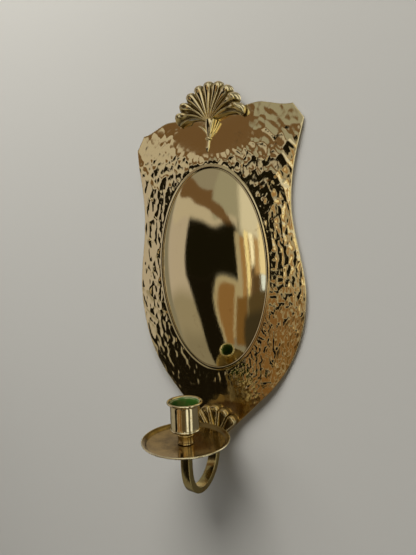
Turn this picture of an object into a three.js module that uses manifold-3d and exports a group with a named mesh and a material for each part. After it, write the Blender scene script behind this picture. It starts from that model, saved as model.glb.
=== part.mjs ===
// Wall sconce candle holder in brass, in millimetres, +Z up and -Y out from the wall.
// The origin is where the hook bears on the hanger strap: on the wall plane, on the centre line.
import * as THREE from "three";
import { mergeVertices } from "three/addons/utils/BufferGeometryUtils.js";
import Module from "manifold-3d";

const wasm = await Module();
wasm.setup();

// ---------------------------------------------------------------- driving dimensions

const GAP = 0.3; // left between two pieces that touch or slide

// Back plate: one sheet, hammered outside a pressed oval boss
const PLATE_WIDTH = 182; // across the outer points of the top corners
const PLATE_HEIGHT = 305; // from the tip to the crests of the top edge
const PLATE_TOP = 30; // the crests above the hook
const SHEET = 1; // thickness of the sheet
const WALL_GAP = 5; // from the wall to the back of the sheet
const CREST_APART = 96; // between the two crests of the top edge
const CREST_DIP = 4; // fall of the top edge between the crests
const SHOULDER_FALL = 7.4; // from a crest down to the corner cut
const CORNER_CUT = [9.3, 13.1]; // width and height of the sloping corner cut
const WAIST_INSET = { left: 9, right: 12 }; // waist inside the outer points: the sides were cut by hand
const WAIST_DROP = 87; // waist below the crests
const HIP_INSET = 0.7; // hip inside the outer points, each side
const HIP_DROP = 163; // hip below the crests
const TAPER = 53; // half width and height of the straight taper above the tip

// Oval boss and the bead round it
const BOSS_SIDE_MARGIN = 34; // outer points to boss
const BOSS_TOP_MARGIN = 50.6; // crests to boss
const BOSS_TIP_MARGIN = 73.1; // boss to tip
const BOSS_RISE = 15; // height of its crown
const BOSS_FULLNESS = 2.6; // exponent of the crown's section
const BEAD_WIDTH = 3.4; // band of the bead round the boss
const BEAD_RISE = 0.9;

// Cast palmette at the head
const PALMETTE = {
  lobes: 9,
  step: THREE.MathUtils.degToRad(19.6),
  radius: 35.7, // of the middle lobe
  spread: 2.3, // how much longer the outermost lobes are
  notch: 4.2, // depth of the notches between the lobes
  root: 3.6, // height over the plate at the root
  crest: 6.8, // height over the plate at the curled tips
  groove: 2.2, // depth of the grooves between the lobes
  flute: 0, // depth of the hollow along each lobe
};
const PALMETTE_BELOW_CREST = 10; // fan centre below the crests
const PALMETTE_OFFSET = 2.8; // the casting sits a little right of the centre line
const PALMETTE_LEAN = THREE.MathUtils.degToRad(2); // and leans to the right
const STEM_LENGTH = 26; // fan centre to the tip of the tail, which is back on the centre line

// Cast shell at the foot
const SHELL = {
  lobes: 5,
  step: THREE.MathUtils.degToRad(19.5),
  radius: 35,
  spread: -1.5,
  notch: 4,
  root: 4.6,
  crest: 5.6,
  groove: 0.9,
  flute: 1.5,
};
const SHELL_ABOVE_TIP = 2.8; // fan centre above the tip

// Strap arm
const STRAP_WIDTH = 9.2;
const STRAP_THICK = 5.8;
const STRAP_EDGE = 0.7; // bevel of the strap's edges
const FOOT_THICK = 2.4; // the foot is forged flat
const FOOT_HEIGHT = 26; // top of the foot above the tip
const FOOT_ABOVE_TIP = 2; // the foot is flat from here up
const ARM_TOP_ABOVE_TIP = 14.4;
const ARM_DROP = 44.2; // from the front end down to the lowest point of the centre line
const LEG_STRAIGHT = 16; // straight stretch under the front end

// Stud, seat, pan, neck and cup, one above the other
const STUD_DIAMETER = 3;
const STUD_IN_ARM = 8;
const SEAT_DIAMETER = 12;
const SEAT_THICK = 1.5;
const PAN_DIAMETER = 76;
const PAN_SHEET = 0.8;
const PAN_RISE = 4; // rim over the pan's floor
const PAN_DISH = 2.3; // of which the floor's dished part takes this
const PAN_FLAT = 14; // radius of the flat middle
const PAN_RIM = 4; // width of the sloping rim
const PAN_EDGE = 1.3; // thickness of the rolled edge
const PAN_ROOM = 3.4; // pan to lower shell
const NECK_DIAMETER = 14.3;
const NECK_HEIGHT = 8;
const SPIGOT_DIAMETER = 8;
const SPIGOT_HEIGHT = 1.6;
const CUP_DIAMETER = 25;
const CUP_WALL = 1.2;
const CUP_HEIGHT = 28;
const CUP_FLOOR = 5; // solid bottom of the cup, over the neck
const CUP_BEAD = 1.2; // bead round the cup's base stands proud by this
const LIP_FLARE = 2.9; // lip outside the body
const LIP_HEIGHT = 4.2;

// Hanger strap on the back
const HANGER_WIDTH = 40;
const HANGER_HEIGHT = 20;
const HANGER_ABOVE_HOOK = 4.6; // strap above the slot's bearing edge
const HANGER_SHEET = 1.2;
const HANGER_FOOT = 8; // soldered flange at each side
const SLOT_WIDTH = 4.4; // takes the hook
const ENTRY_DIAMETER = 8.6; // takes the screw's head
const ENTRY_DROP = 8.6; // centre of the entry below the hook

// Pegs and rivets
const PEG_DIAMETER = 2.6;
const PEG_IN_CASTING = 2;
const RIVET_DIAMETER = 3;
const RIVET_HEAD = 5.4;
const TAIL_DIAMETER = 5.2; // headed end at the back
const TAIL_HEIGHT = 1.3;
const ARM_RIVETS_ABOVE_TIP = [9.5, 20];
const SHELL_PEG_OFFSET = [11, 20]; // to each side, and above the tip
const PEG_FROM_EDGE = 4.6; // upper peg of the palmette below the plate's top edge
const PEG_IN_STEM = 8; // lower peg below the fan centre

const TURN_SEGMENTS = 40; // round a cup or a pan

// ---------------------------------------------------------------- derived places

const PLATE_BACK = -WALL_GAP;
const PLATE_FRONT = PLATE_BACK - SHEET;
const TIP_Z = PLATE_TOP - PLATE_HEIGHT;
const HALF_WIDTH = PLATE_WIDTH / 2;
const HIP = HALF_WIDTH - HIP_INSET;
const BOSS_HALF_WIDTH = HALF_WIDTH - BOSS_SIDE_MARGIN;
const BOSS_HALF_HEIGHT = (PLATE_HEIGHT - BOSS_TOP_MARGIN - BOSS_TIP_MARGIN) / 2;
const BOSS_Z = PLATE_TOP - BOSS_TOP_MARGIN - BOSS_HALF_HEIGHT;
const PALMETTE_Z = PLATE_TOP - PALMETTE_BELOW_CREST;
const STEM_LEAN = Math.atan2(PALMETTE_OFFSET, STEM_LENGTH);
const SHELL_Z = TIP_Z + SHELL_ABOVE_TIP;
const CASTING_BACK = PLATE_FRONT - GAP;
const ARM_TOP_Z = TIP_Z + ARM_TOP_ABOVE_TIP;
const AXIS_Y = PLATE_FRONT - SHELL.crest - PAN_ROOM - PAN_DIAMETER / 2;
const SEAT_Z = ARM_TOP_Z + GAP;
const PAN_Z = SEAT_Z + SEAT_THICK + GAP; // underside of the pan
const NECK_Z = PAN_Z + PAN_SHEET + GAP;
const CUP_Z = NECK_Z + NECK_HEIGHT + GAP;
const STUD_HOLE = STUD_DIAMETER / 2 + GAP;

// ---------------------------------------------------------------- solids

const finish = (color, roughness) => new THREE.MeshStandardMaterial({ color, roughness, metalness: 1 });
const brass = {
  polished: finish(0xe3c878, 0.12),
  hammered: finish(0xd9bd6e, 0.16),
  cast: finish(0xd8b866, 0.24),
  plain: finish(0xb8944a, 0.4),
};

function solidOf(geometry) {
  const bare = geometry.clone();
  bare.deleteAttribute("normal");
  bare.deleteAttribute("uv");
  const merged = mergeVertices(bare, 1e-4);
  const triVerts = new Uint32Array(merged.index.array);
  return new wasm.Manifold(
    new wasm.Mesh({ numProp: 3, vertProperties: merged.attributes.position.array, triVerts }),
  );
}

function geometryOf(solid) {
  const mesh = solid.getMesh();
  const geometry = new THREE.BufferGeometry();
  geometry.setAttribute("position", new THREE.BufferAttribute(mesh.vertProperties, 3));
  geometry.setIndex(new THREE.BufferAttribute(mesh.triVerts, 1));
  geometry.computeVertexNormals();
  return geometry;
}

const joined = (...parts) => geometryOf(parts.map(solidOf).reduce((a, b) => a.add(b)));
const cutBy = (body, ...tools) => geometryOf(tools.map(solidOf).reduce((a, b) => a.subtract(b), solidOf(body)));

// A closed surface from a list of vertices and a list of triangles.
function faceted(points, triangles) {
  const geometry = new THREE.BufferGeometry().setFromPoints(points);
  geometry.setIndex(triangles.flat());
  geometry.computeVertexNormals();
  return geometry;
}

// A body turned about Z from its [radius, height] profile: up the outside and down the inside.
function turned(profile, segments = TURN_SEGMENTS) {
  const points = profile.map(([radius, height]) => new THREE.Vector2(radius, height));
  return new THREE.LatheGeometry(points, segments).rotateX(Math.PI / 2);
}

// The same, lying along -Y from the given place: heights of the profile run out from the wall.
function turnedOutward(profile, x, z, segments = 20) {
  return turned(profile, segments).rotateX(Math.PI / 2).translate(x, 0, z);
}

// Points of a quarter round, or of any arc, in a profile.
function arc(centre, radius, from, to, steps) {
  return Array.from({ length: steps + 1 }, (_, i) => {
    const angle = from + ((to - from) * i) / steps;
    return [centre[0] + radius * Math.cos(angle), centre[1] + radius * Math.sin(angle)];
  });
}

// A body skinned over rings of equal length, closed by a fan at each end.
function lofted(rings) {
  const count = rings[0].length;
  const points = rings.flat();
  const triangles = [];
  for (let r = 0; r + 1 < rings.length; r++) {
    for (let i = 0; i < count; i++) {
      const a = r * count + i;
      const b = r * count + ((i + 1) % count);
      triangles.push([a, b, b + count], [a, b + count, a + count]);
    }
  }
  const last = (rings.length - 1) * count;
  for (let i = 1; i + 1 < count; i++) {
    triangles.push([0, i + 1, i], [last, last + i, last + i + 1]);
  }
  return faceted(points, triangles);
}

function piece(name, geometry, material) {
  const mesh = new THREE.Mesh(geometry, material);
  mesh.name = name;
  return mesh;
}

// ---------------------------------------------------------------- back plate

// One half of the outline, drawn on the right, from the middle of the top edge down to the tip.
function halfOutline(waistInset) {
  const waist = HALF_WIDTH - waistInset;
  const crest = CREST_APART / 2;
  const dip = PLATE_TOP - CREST_DIP;
  const cutTop = PLATE_TOP - SHOULDER_FALL;
  const shoulder = HALF_WIDTH - CORNER_CUT[0];
  const corner = cutTop - CORNER_CUT[1];
  const cutEnd = [shoulder, cutTop];
  const waistZ = PLATE_TOP - WAIST_DROP;
  const hipZ = PLATE_TOP - HIP_DROP;
  const taperZ = TIP_Z + TAPER;
  const reach = shoulder - crest;
  const point = (x, z) => new THREE.Vector2(x, z);
  const curve = (...ends) => new THREE.CubicBezierCurve(...ends.map(([x, z]) => point(x, z)));
  const stretches = [
    [curve([0, dip], [0.42 * crest, dip], [0.75 * crest, PLATE_TOP], [crest, PLATE_TOP]), 6],
    [curve([crest, PLATE_TOP], [crest + 0.3 * reach, PLATE_TOP], [shoulder - 0.4 * reach, cutTop], cutEnd), 6],
    [new THREE.LineCurve(point(...cutEnd), point(HALF_WIDTH, corner)), 2],
    [curve([HALF_WIDTH, corner], [HALF_WIDTH - 2.8, corner - 14], [waist, waistZ + 30], [waist, waistZ]), 8],
    [curve([waist, waistZ], [waist, waistZ - 25], [HIP, hipZ + 25], [HIP, hipZ]), 6],
    [curve([HIP, hipZ], [HIP, hipZ - 35], [TAPER + 21, taperZ + 21], [TAPER, taperZ]), 8],
    [new THREE.LineCurve(point(TAPER, taperZ), point(0, TIP_Z)), 6],
  ];
  return stretches.flatMap(([stretch, steps]) => stretch.getPoints(steps).slice(0, -1));
}

function plateOutline() {
  const right = halfOutline(WAIST_INSET.right);
  const left = halfOutline(WAIST_INSET.left).slice(1).map((p) => new THREE.Vector2(-p.x, p.y));
  return [...right, new THREE.Vector2(0, TIP_Z), ...left.reverse()];
}

// Height of the sheet over its flat, across the boss (t from 0 to 1) and the bead (t from 1 to 2).
function plateRise(t) {
  if (t <= 1) return BOSS_RISE * (1 - t ** BOSS_FULLNESS);
  return BEAD_RISE * Math.max(0, Math.sin(Math.PI * Math.min(1, t - 1)));
}

// Rings round the boss centre: out over the boss, over the bead, then across the flat to the outline.
function plateRings(outline) {
  const centre = new THREE.Vector2(0, BOSS_Z);
  const toward = outline.map((p) => p.clone().sub(centre));
  const oval = (grow, scale) =>
    toward.map((d) => {
      const a = (BOSS_HALF_WIDTH + grow) * scale;
      const b = (BOSS_HALF_HEIGHT + grow) * scale;
      const reach = 1 / Math.hypot(d.x / a, d.y / b);
      return d.clone().multiplyScalar(reach).add(centre);
    });
  const rings = [];
  for (const t of [0.25, 0.45, 0.62, 0.76, 0.87, 0.95, 1]) {
    rings.push({ points: oval(0, t), rise: plateRise(t) });
  }
  for (const t of [0.25, 0.5, 0.75, 1]) {
    rings.push({ points: oval(BEAD_WIDTH * t, 1), rise: plateRise(1 + t) });
  }
  rings.push({ points: outline, rise: 0 });
  return rings;
}

function backPlate() {
  const outline = plateOutline();
  const count = outline.length;
  const rings = plateRings(outline);
  const side = (y) => [
    new THREE.Vector3(0, y - BOSS_RISE, BOSS_Z),
    ...rings.flatMap(({ points, rise }) => points.map((p) => new THREE.Vector3(p.x, y - rise, p.y))),
  ];
  const triangles = [];
  const offset = 1 + rings.length * count;
  for (let i = 0; i < count; i++) {
    const next = (i + 1) % count;
    triangles.push([0, 1 + next, 1 + i], [offset, offset + 1 + i, offset + 1 + next]);
    for (let r = 0; r + 1 < rings.length; r++) {
      const [a, b] = [1 + r * count + i, 1 + r * count + next];
      const [c, d] = [a + count, b + count];
      triangles.push([a, d, c], [a, b, d]);
      triangles.push([offset + a, offset + c, offset + d], [offset + a, offset + d, offset + b]);
    }
    const [e, f] = [1 + (rings.length - 1) * count + i, 1 + (rings.length - 1) * count + next];
    triangles.push([e, offset + f, offset + e], [e, f, offset + f]);
  }
  const blank = faceted([...side(PLATE_FRONT), ...side(PLATE_BACK)], triangles);
  return cutBy(blank, ...plateHoles());
}

function throughHole(diameter, x, z, from, to) {
  const radius = diameter / 2 + GAP;
  return turnedOutward([[0, from], [radius, from], [radius, to], [0, to]], x, z);
}

// A place on the palmette's stem, which leans, at a height over the centre of the fan.
function onStem(height) {
  return [PALMETTE_OFFSET + height * Math.sin(STEM_LEAN), PALMETTE_Z + height * Math.cos(STEM_LEAN)];
}

const pegPlaces = () => ({
  upper_shell_rivet_top: onStem(PALMETTE_BELOW_CREST - CREST_DIP - PEG_FROM_EDGE),
  upper_shell_rivet_bottom: onStem(-PEG_IN_STEM),
  lower_shell_rivet_left: [-SHELL_PEG_OFFSET[0], TIP_Z + SHELL_PEG_OFFSET[1]],
  lower_shell_rivet_right: [SHELL_PEG_OFFSET[0], TIP_Z + SHELL_PEG_OFFSET[1]],
});

const rivetPlaces = () => ({
  arm_rivet_lower: [0, TIP_Z + ARM_RIVETS_ABOVE_TIP[0]],
  arm_rivet_upper: [0, TIP_Z + ARM_RIVETS_ABOVE_TIP[1]],
});

function plateHoles() {
  const [from, to] = [-PLATE_BACK - 1, -PLATE_FRONT + 1];
  const pegs = Object.values(pegPlaces()).map(([x, z]) => throughHole(PEG_DIAMETER, x, z, from, to));
  const rivets = Object.values(rivetPlaces()).map(([x, z]) => throughHole(RIVET_DIAMETER, x, z, from, to));
  return [...pegs, ...rivets];
}

// ---------------------------------------------------------------- cast shells

// Height of a fan over its back at a share of its length and at a place across the lobe, -1 to 1.
function fanHeight(fan, along, across) {
  const rim = 1.3;
  const curl = Math.max(0, (along - 0.8) / 0.2);
  const body = fan.root - 0.9 * along + (fan.crest - fan.root + 0.9) * along ** 3;
  const groove = fan.groove * Math.min(1, 1.4 * along) * (1 - Math.sqrt(1 - 0.98 * across * across));
  const hollow = fan.flute * along * (1 - Math.abs(across) ** 1.6) * (1 - curl * curl);
  const top = body - groove - hollow;
  return rim + (top - rim) * Math.sqrt(Math.max(0, 1 - curl ** 3));
}

// A fan of lobes standing on its flat back, its root at the origin and its middle lobe along +Z.
function fanOfLobes(fan) {
  const perLobe = 8;
  const steps = fan.lobes * perLobe;
  const radial = Array.from({ length: 10 }, (_, j) => Math.sin(((j / 9) * Math.PI) / 2));
  const points = [new THREE.Vector3(0, -fan.root, 0), new THREE.Vector3(0, 0, 0)];
  const columns = [];
  for (let i = 0; i <= steps; i++) {
    const lobe = i / perLobe;
    const across = 2 * (lobe - Math.min(fan.lobes - 1, Math.floor(lobe))) - 1;
    const angle = (lobe - fan.lobes / 2) * fan.step;
    const outward = (2 * lobe) / fan.lobes - 1;
    const reach = fan.radius + fan.spread * outward * outward;
    const length = reach - fan.notch * (1 - Math.sqrt(1 - 0.96 * across * across));
    const column = radial.slice(1).map((along) => {
      const r = along * length;
      points.push(new THREE.Vector3(r * Math.sin(angle), -fanHeight(fan, along, across), r * Math.cos(angle)));
      return points.length - 1;
    });
    points.push(new THREE.Vector3(length * Math.sin(angle), 0, length * Math.cos(angle)));
    columns.push([0, ...column, points.length - 1]);
  }
  const triangles = [];
  columns.slice(1).forEach((right, i) => {
    const left = columns[i];
    triangles.push([0, right[1], left[1]], [1, left.at(-1), right.at(-1)]);
    for (let j = 1; j + 1 < left.length; j++) {
      triangles.push([left[j], right[j], right[j + 1]], [left[j], right[j + 1], left[j + 1]]);
    }
  });
  const [first, last] = [columns[0], columns.at(-1)];
  for (let j = 0; j + 1 < first.length; j++) {
    triangles.push([1, first[j], first[j + 1]], [1, last[j + 1], last[j]]);
  }
  return faceted(points, triangles);
}

// A half-round moulding standing on the plate: [height along Z, half width, rise] stations.
function moulding(stations) {
  const sides = 10;
  return lofted(
    stations.map(([z, half, rise]) =>
      Array.from({ length: sides + 1 }, (_, i) => {
        const angle = (Math.PI * i) / sides;
        return new THREE.Vector3(-half * Math.cos(angle), -rise * Math.sin(angle), z);
      }),
    ),
  );
}

// Calyx under the fan, a node, and a tail that runs out to a point.
function stem() {
  return moulding([
    [-STEM_LENGTH, 0.5, 0.7],
    [-0.82 * STEM_LENGTH, 2, 2.2],
    [-0.62 * STEM_LENGTH, 1.9, 3],
    [-0.53 * STEM_LENGTH, 3.3, 4.6],
    [-0.46 * STEM_LENGTH, 2.4, 4],
    [-0.3 * STEM_LENGTH, 4.6, 5],
    [-0.05 * STEM_LENGTH, 7.5, 5.2],
    [0.2 * STEM_LENGTH, 6, 4.6],
  ]);
}

function pegHole([x, z]) {
  const radius = PEG_DIAMETER / 2 + GAP;
  const end = -CASTING_BACK + PEG_IN_CASTING + GAP;
  return turnedOutward([[0, 0], [radius, 0], [radius, end], [0, end]], x, z);
}

function upperShell() {
  const pegs = pegPlaces();
  const casting = joined(fanOfLobes(PALMETTE).rotateY(PALMETTE_LEAN), stem().rotateY(STEM_LEAN));
  casting.translate(PALMETTE_OFFSET, CASTING_BACK, PALMETTE_Z);
  return cutBy(casting, pegHole(pegs.upper_shell_rivet_top), pegHole(pegs.upper_shell_rivet_bottom));
}

// The lower shell is hollowed at the back for the arm's foot.
function lowerShell() {
  const pegs = pegPlaces();
  const casting = fanOfLobes(SHELL).translate(0, CASTING_BACK, SHELL_Z);
  return cutBy(casting, strap(GAP), pegHole(pegs.lower_shell_rivet_left), pegHole(pegs.lower_shell_rivet_right));
}

// ---------------------------------------------------------------- strap arm

// Centre line of the arm in the YZ plane, from its front end round to the top of its foot.
function armPath() {
  const footY = CASTING_BACK - FOOT_THICK / 2;
  const low = ARM_TOP_Z - ARM_DROP;
  const span = footY - AXIS_Y;
  const turnZ = ARM_TOP_Z - LEG_STRAIGHT;
  const rearY = footY - STRAP_THICK / 2 - 1.4;
  const rearZ = TIP_Z - 7;
  const at = (y, z) => new THREE.Vector3(0, y, z);
  const path = new THREE.CurvePath();
  path.add(new THREE.LineCurve3(at(AXIS_Y, ARM_TOP_Z), at(AXIS_Y, turnZ)));
  path.add(
    new THREE.CubicBezierCurve3(
      at(AXIS_Y, turnZ),
      at(AXIS_Y, turnZ - 0.62 * (turnZ - low)),
      at(AXIS_Y + 0.12 * span, low),
      at(AXIS_Y + 0.4 * span, low),
    ),
  );
  path.add(
    new THREE.CubicBezierCurve3(
      at(AXIS_Y + 0.4 * span, low),
      at(AXIS_Y + 0.62 * span, low),
      at(rearY - 2.6, rearZ - 0.6 * (rearZ - low)),
      at(rearY, rearZ),
    ),
  );
  const flatZ = TIP_Z + FOOT_ABOVE_TIP;
  path.add(
    new THREE.CubicBezierCurve3(
      at(rearY, rearZ),
      at(rearY + 1.1, rearZ + 4),
      at(footY, flatZ - 4.5),
      at(footY, flatZ),
    ),
  );
  path.add(new THREE.LineCurve3(at(footY, flatZ), at(footY, TIP_Z + FOOT_HEIGHT)));
  return path;
}

// The strap's section: a bar with bevelled edges, in the plane across the path.
function strapRing(place, tangent, thick, clear) {
  const [w, t] = [STRAP_WIDTH / 2 + clear, thick / 2 + clear];
  const e = Math.min(STRAP_EDGE, 0.3 * thick);
  const across = new THREE.Vector3(1, 0, 0);
  const through = new THREE.Vector3().crossVectors(tangent, across);
  const corners = [
    [w, t - e],
    [w - e, t],
    [-w + e, t],
    [-w, t - e],
    [-w, -t + e],
    [-w + e, -t],
    [w - e, -t],
    [w, -t + e],
  ];
  return corners.map(([a, b]) => place.clone().addScaledVector(across, a).addScaledVector(through, b));
}

// The strap itself, or with a clearance all round the space that it takes in the lower shell.
function strap(clear = 0) {
  const rings = [];
  const stretches = [2, 10, 10, 6, 2];
  armPath().curves.forEach((curve, s) => {
    for (let i = s ? 1 : 0; i <= stretches[s]; i++) {
      const u = i / stretches[s];
      const flat = s < 3 ? 0 : s === 3 ? u * u * (3 - 2 * u) : 1;
      const thick = STRAP_THICK + (FOOT_THICK - STRAP_THICK) * flat;
      rings.push(strapRing(curve.getPoint(u), curve.getTangent(u), thick, clear));
    }
  });
  const end = rings.at(-1).map((p) => p.clone().add(new THREE.Vector3(0, 0, clear)));
  return lofted(clear ? [...rings, end] : rings);
}

function arm() {
  const bottom = ARM_TOP_Z - STUD_IN_ARM - GAP;
  const socket = turned([[0, bottom], [STUD_HOLE, bottom], [STUD_HOLE, ARM_TOP_Z + 1], [0, ARM_TOP_Z + 1]], 20);
  socket.translate(0, AXIS_Y, 0);
  const holes = Object.values(rivetPlaces()).map(([x, z]) => turnedOutward(rivetProfile(GAP), x, z));
  return cutBy(strap(), socket, ...holes);
}

// ---------------------------------------------------------------- pegs and rivets

// Distances out from the wall along a rivet of the arm: tail, shank, then a flush countersunk head.
function rivetProfile(clear) {
  const shank = RIVET_DIAMETER / 2 + clear;
  const head = RIVET_HEAD / 2 + clear;
  const tail = TAIL_DIAMETER / 2 + clear;
  const back = -PLATE_BACK - GAP;
  const face = -CASTING_BACK + FOOT_THICK;
  const sink = (RIVET_HEAD - RIVET_DIAMETER) / 2;
  return [
    [0, back - TAIL_HEIGHT - clear],
    [tail, back - TAIL_HEIGHT + 0.5 - clear],
    [tail, back + clear],
    [shank, back + clear],
    [shank, face - sink],
    [head, face],
    [head, face + clear * 3 + 0.01],
    [0, face + clear * 3 + 0.01],
  ];
}

function armRivet([x, z]) {
  return turnedOutward(rivetProfile(0), x, z);
}

function peg([x, z]) {
  const shank = PEG_DIAMETER / 2;
  const tail = TAIL_DIAMETER / 2;
  const back = -PLATE_BACK - GAP;
  const end = -CASTING_BACK + PEG_IN_CASTING;
  const flatten = TAIL_HEIGHT / tail;
  const dome = arc([0, back], tail, -Math.PI / 2, 0, 4).map(([r, y]) => [r, back + (y - back) * flatten]);
  return turnedOutward([...dome, [shank, back], [shank, end], [0, end]], x, z);
}

// ---------------------------------------------------------------- stud, seat and pan

function armStud() {
  const [from, to] = [ARM_TOP_Z - STUD_IN_ARM, CUP_Z - 1.2];
  const r = STUD_DIAMETER / 2;
  const bevel = 0.4;
  const profile = [[0, from], [r - bevel, from], [r, from + bevel], [r, to - bevel], [r - bevel, to], [0, to]];
  return turned(profile, 20).translate(0, AXIS_Y, 0);
}

function panSeat() {
  const r = SEAT_DIAMETER / 2;
  const top = SEAT_Z + SEAT_THICK;
  const round = SEAT_THICK / 2;
  const rim = arc([r - round, SEAT_Z + round], round, -Math.PI / 2, Math.PI / 2, 4);
  const profile = [[STUD_HOLE, SEAT_Z], ...rim, [STUD_HOLE, top], [STUD_HOLE, SEAT_Z]];
  return turned(profile, 28).translate(0, AXIS_Y, 0);
}

// Flat in the middle, dished beyond it, with a sloping rim and a rolled edge.
function dripPan() {
  const r = PAN_DIAMETER / 2;
  const edge = PAN_EDGE / 2;
  const top = PAN_Z + PAN_SHEET + PAN_RISE;
  const foot = r - PAN_RIM;
  const dish = (over) =>
    [0, 0.35, 0.7, 1].map((u) => [PAN_FLAT + (foot - PAN_FLAT) * u, PAN_Z + over + PAN_DISH * u * u]);
  const profile = [
    [STUD_HOLE, PAN_Z],
    ...dish(0),
    ...arc([r - edge, top - edge], edge, -0.4 * Math.PI, 0.75 * Math.PI, 6),
    ...dish(PAN_SHEET).reverse(),
    [STUD_HOLE, PAN_Z + PAN_SHEET],
    [STUD_HOLE, PAN_Z],
  ];
  return turned(profile, 48).translate(0, AXIS_Y, 0);
}

// ---------------------------------------------------------------- neck and cup

function cupNeck() {
  const r = NECK_DIAMETER / 2;
  const spigot = SPIGOT_DIAMETER / 2;
  const top = NECK_Z + NECK_HEIGHT;
  const profile = [
    [STUD_HOLE, NECK_Z],
    [r - 0.3, NECK_Z],
    [r, NECK_Z + 0.4],
    [r - 0.35, NECK_Z + 2.5],
    [r - 0.45, NECK_Z + NECK_HEIGHT / 2],
    [r - 0.35, top - 2.5],
    [r, top - 0.4],
    [r - 0.3, top],
    [spigot, top],
    [spigot, top + SPIGOT_HEIGHT],
    [STUD_HOLE, top + SPIGOT_HEIGHT],
    [STUD_HOLE, NECK_Z],
  ];
  return turned(profile, 32).translate(0, AXIS_Y, 0);
}

// Cavetto base with a bead, straight body, rolled lip, and a straight bore with a flared mouth.
function candleCup() {
  const body = CUP_DIAMETER / 2;
  const bore = body - CUP_WALL;
  const top = CUP_Z + CUP_HEIGHT;
  const recess = SPIGOT_DIAMETER / 2 + GAP;
  const ceiling = CUP_Z + SPIGOT_HEIGHT + GAP;
  const bead = 1.5;
  const beadZ = CUP_Z + 4.2;
  const roll = 0.9;
  const lip = body + LIP_FLARE - roll;
  const profile = [
    [0, ceiling],
    [recess, ceiling],
    [recess, CUP_Z],
    [NECK_DIAMETER / 2, CUP_Z],
    [NECK_DIAMETER / 2 + 1.6, CUP_Z + 1.4],
    ...arc([body + CUP_BEAD - bead, beadZ], bead, -0.5 * Math.PI, 0.4 * Math.PI, 5),
    [body, beadZ + bead],
    [body, top - LIP_HEIGHT],
    [body + 0.5, top - 0.6 * LIP_HEIGHT],
    [body + 0.5 * LIP_FLARE, top - 0.36 * LIP_HEIGHT],
    ...arc([lip, top - roll], roll, -0.3 * Math.PI, 0.75 * Math.PI, 6),
    [bore + 0.7, top - 0.45 * LIP_HEIGHT],
    [bore, top - LIP_HEIGHT],
    [bore, CUP_Z + CUP_FLOOR + 0.6],
    [bore - 0.6, CUP_Z + CUP_FLOOR],
    [0, CUP_Z + CUP_FLOOR],
  ];
  return turned(profile).translate(0, AXIS_Y, 0);
}

// ---------------------------------------------------------------- hanger

// A raised strap with a flange at each side and a keyhole, soldered to the plate's back.
function hanger() {
  const half = HANGER_WIDTH / 2;
  const flange = PLATE_BACK + GAP;
  const rise = half - HANGER_FOOT;
  const shape = new THREE.Shape();
  shape.moveTo(-half, flange);
  shape.lineTo(-rise - HANGER_SHEET, flange);
  shape.lineTo(-rise + 1.5, -HANGER_SHEET);
  shape.lineTo(rise - 1.5, -HANGER_SHEET);
  shape.lineTo(rise + HANGER_SHEET, flange);
  shape.lineTo(half, flange);
  shape.lineTo(half, flange + HANGER_SHEET);
  shape.lineTo(rise + 0.5, flange + HANGER_SHEET);
  shape.lineTo(rise - 2.2, 0);
  shape.lineTo(-rise + 2.2, 0);
  shape.lineTo(-rise - 0.5, flange + HANGER_SHEET);
  shape.lineTo(-half, flange + HANGER_SHEET);
  shape.closePath();
  const strap = new THREE.ExtrudeGeometry(shape, { depth: HANGER_HEIGHT, bevelEnabled: false });
  strap.translate(0, 0, HANGER_ABOVE_HOOK - HANGER_HEIGHT);
  return cutBy(strap, keyhole());
}

// The slot's round top bears on the hook, and the larger hole below lets the screw's head in.
function keyhole() {
  const slot = SLOT_WIDTH / 2;
  const entry = ENTRY_DIAMETER / 2;
  const [from, to] = [-1, WALL_GAP - 1];
  const through = (radius, z) => turnedOutward([[0, from], [radius, from], [radius, to], [0, to]], 0, z, 28);
  const link = new THREE.BoxGeometry(SLOT_WIDTH, 2 * WALL_GAP - 2, ENTRY_DROP - slot);
  link.translate(0, 0, -slot - (ENTRY_DROP - slot) / 2);
  return joined(through(slot, -slot), through(entry, -ENTRY_DROP), link);
}

// ---------------------------------------------------------------- assembly

const sconce = new THREE.Group();
sconce.add(piece("back_plate", backPlate(), brass.hammered));
sconce.add(piece("upper_shell", upperShell(), brass.cast));
sconce.add(piece("lower_shell", lowerShell(), brass.cast));
for (const [name, place] of Object.entries(pegPlaces())) sconce.add(piece(name, peg(place), brass.plain));
for (const [name, place] of Object.entries(rivetPlaces())) sconce.add(piece(name, armRivet(place), brass.plain));
sconce.add(piece("arm", arm(), brass.cast));
sconce.add(piece("arm_stud", armStud(), brass.plain));
sconce.add(piece("pan_seat", panSeat(), brass.plain));
sconce.add(piece("hanger", hanger(), brass.plain));
sconce.add(piece("drip_pan", dripPan(), brass.polished));
sconce.add(piece("cup_neck", cupNeck(), brass.polished));
sconce.add(piece("candle_cup", candleCup(), brass.polished));

export default sconce;
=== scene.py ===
"""A brass wall sconce for one candle: hammered plate, cast shells, strap arm, drip pan, neck and cup.

The pieces are worked out in millimetres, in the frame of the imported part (+Z up, -Y out from the wall, the
origin where the wall hook bears), and become metres in as_mesh. The studio is given in metres.
"""

import logging
import math
from dataclasses import dataclass, field
from enum import Enum
from typing import Callable, Iterable, Sequence

import bmesh
import bpy
import numpy as np
from mathutils import Matrix, Vector
from mathutils.kdtree import KDTree


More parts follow.
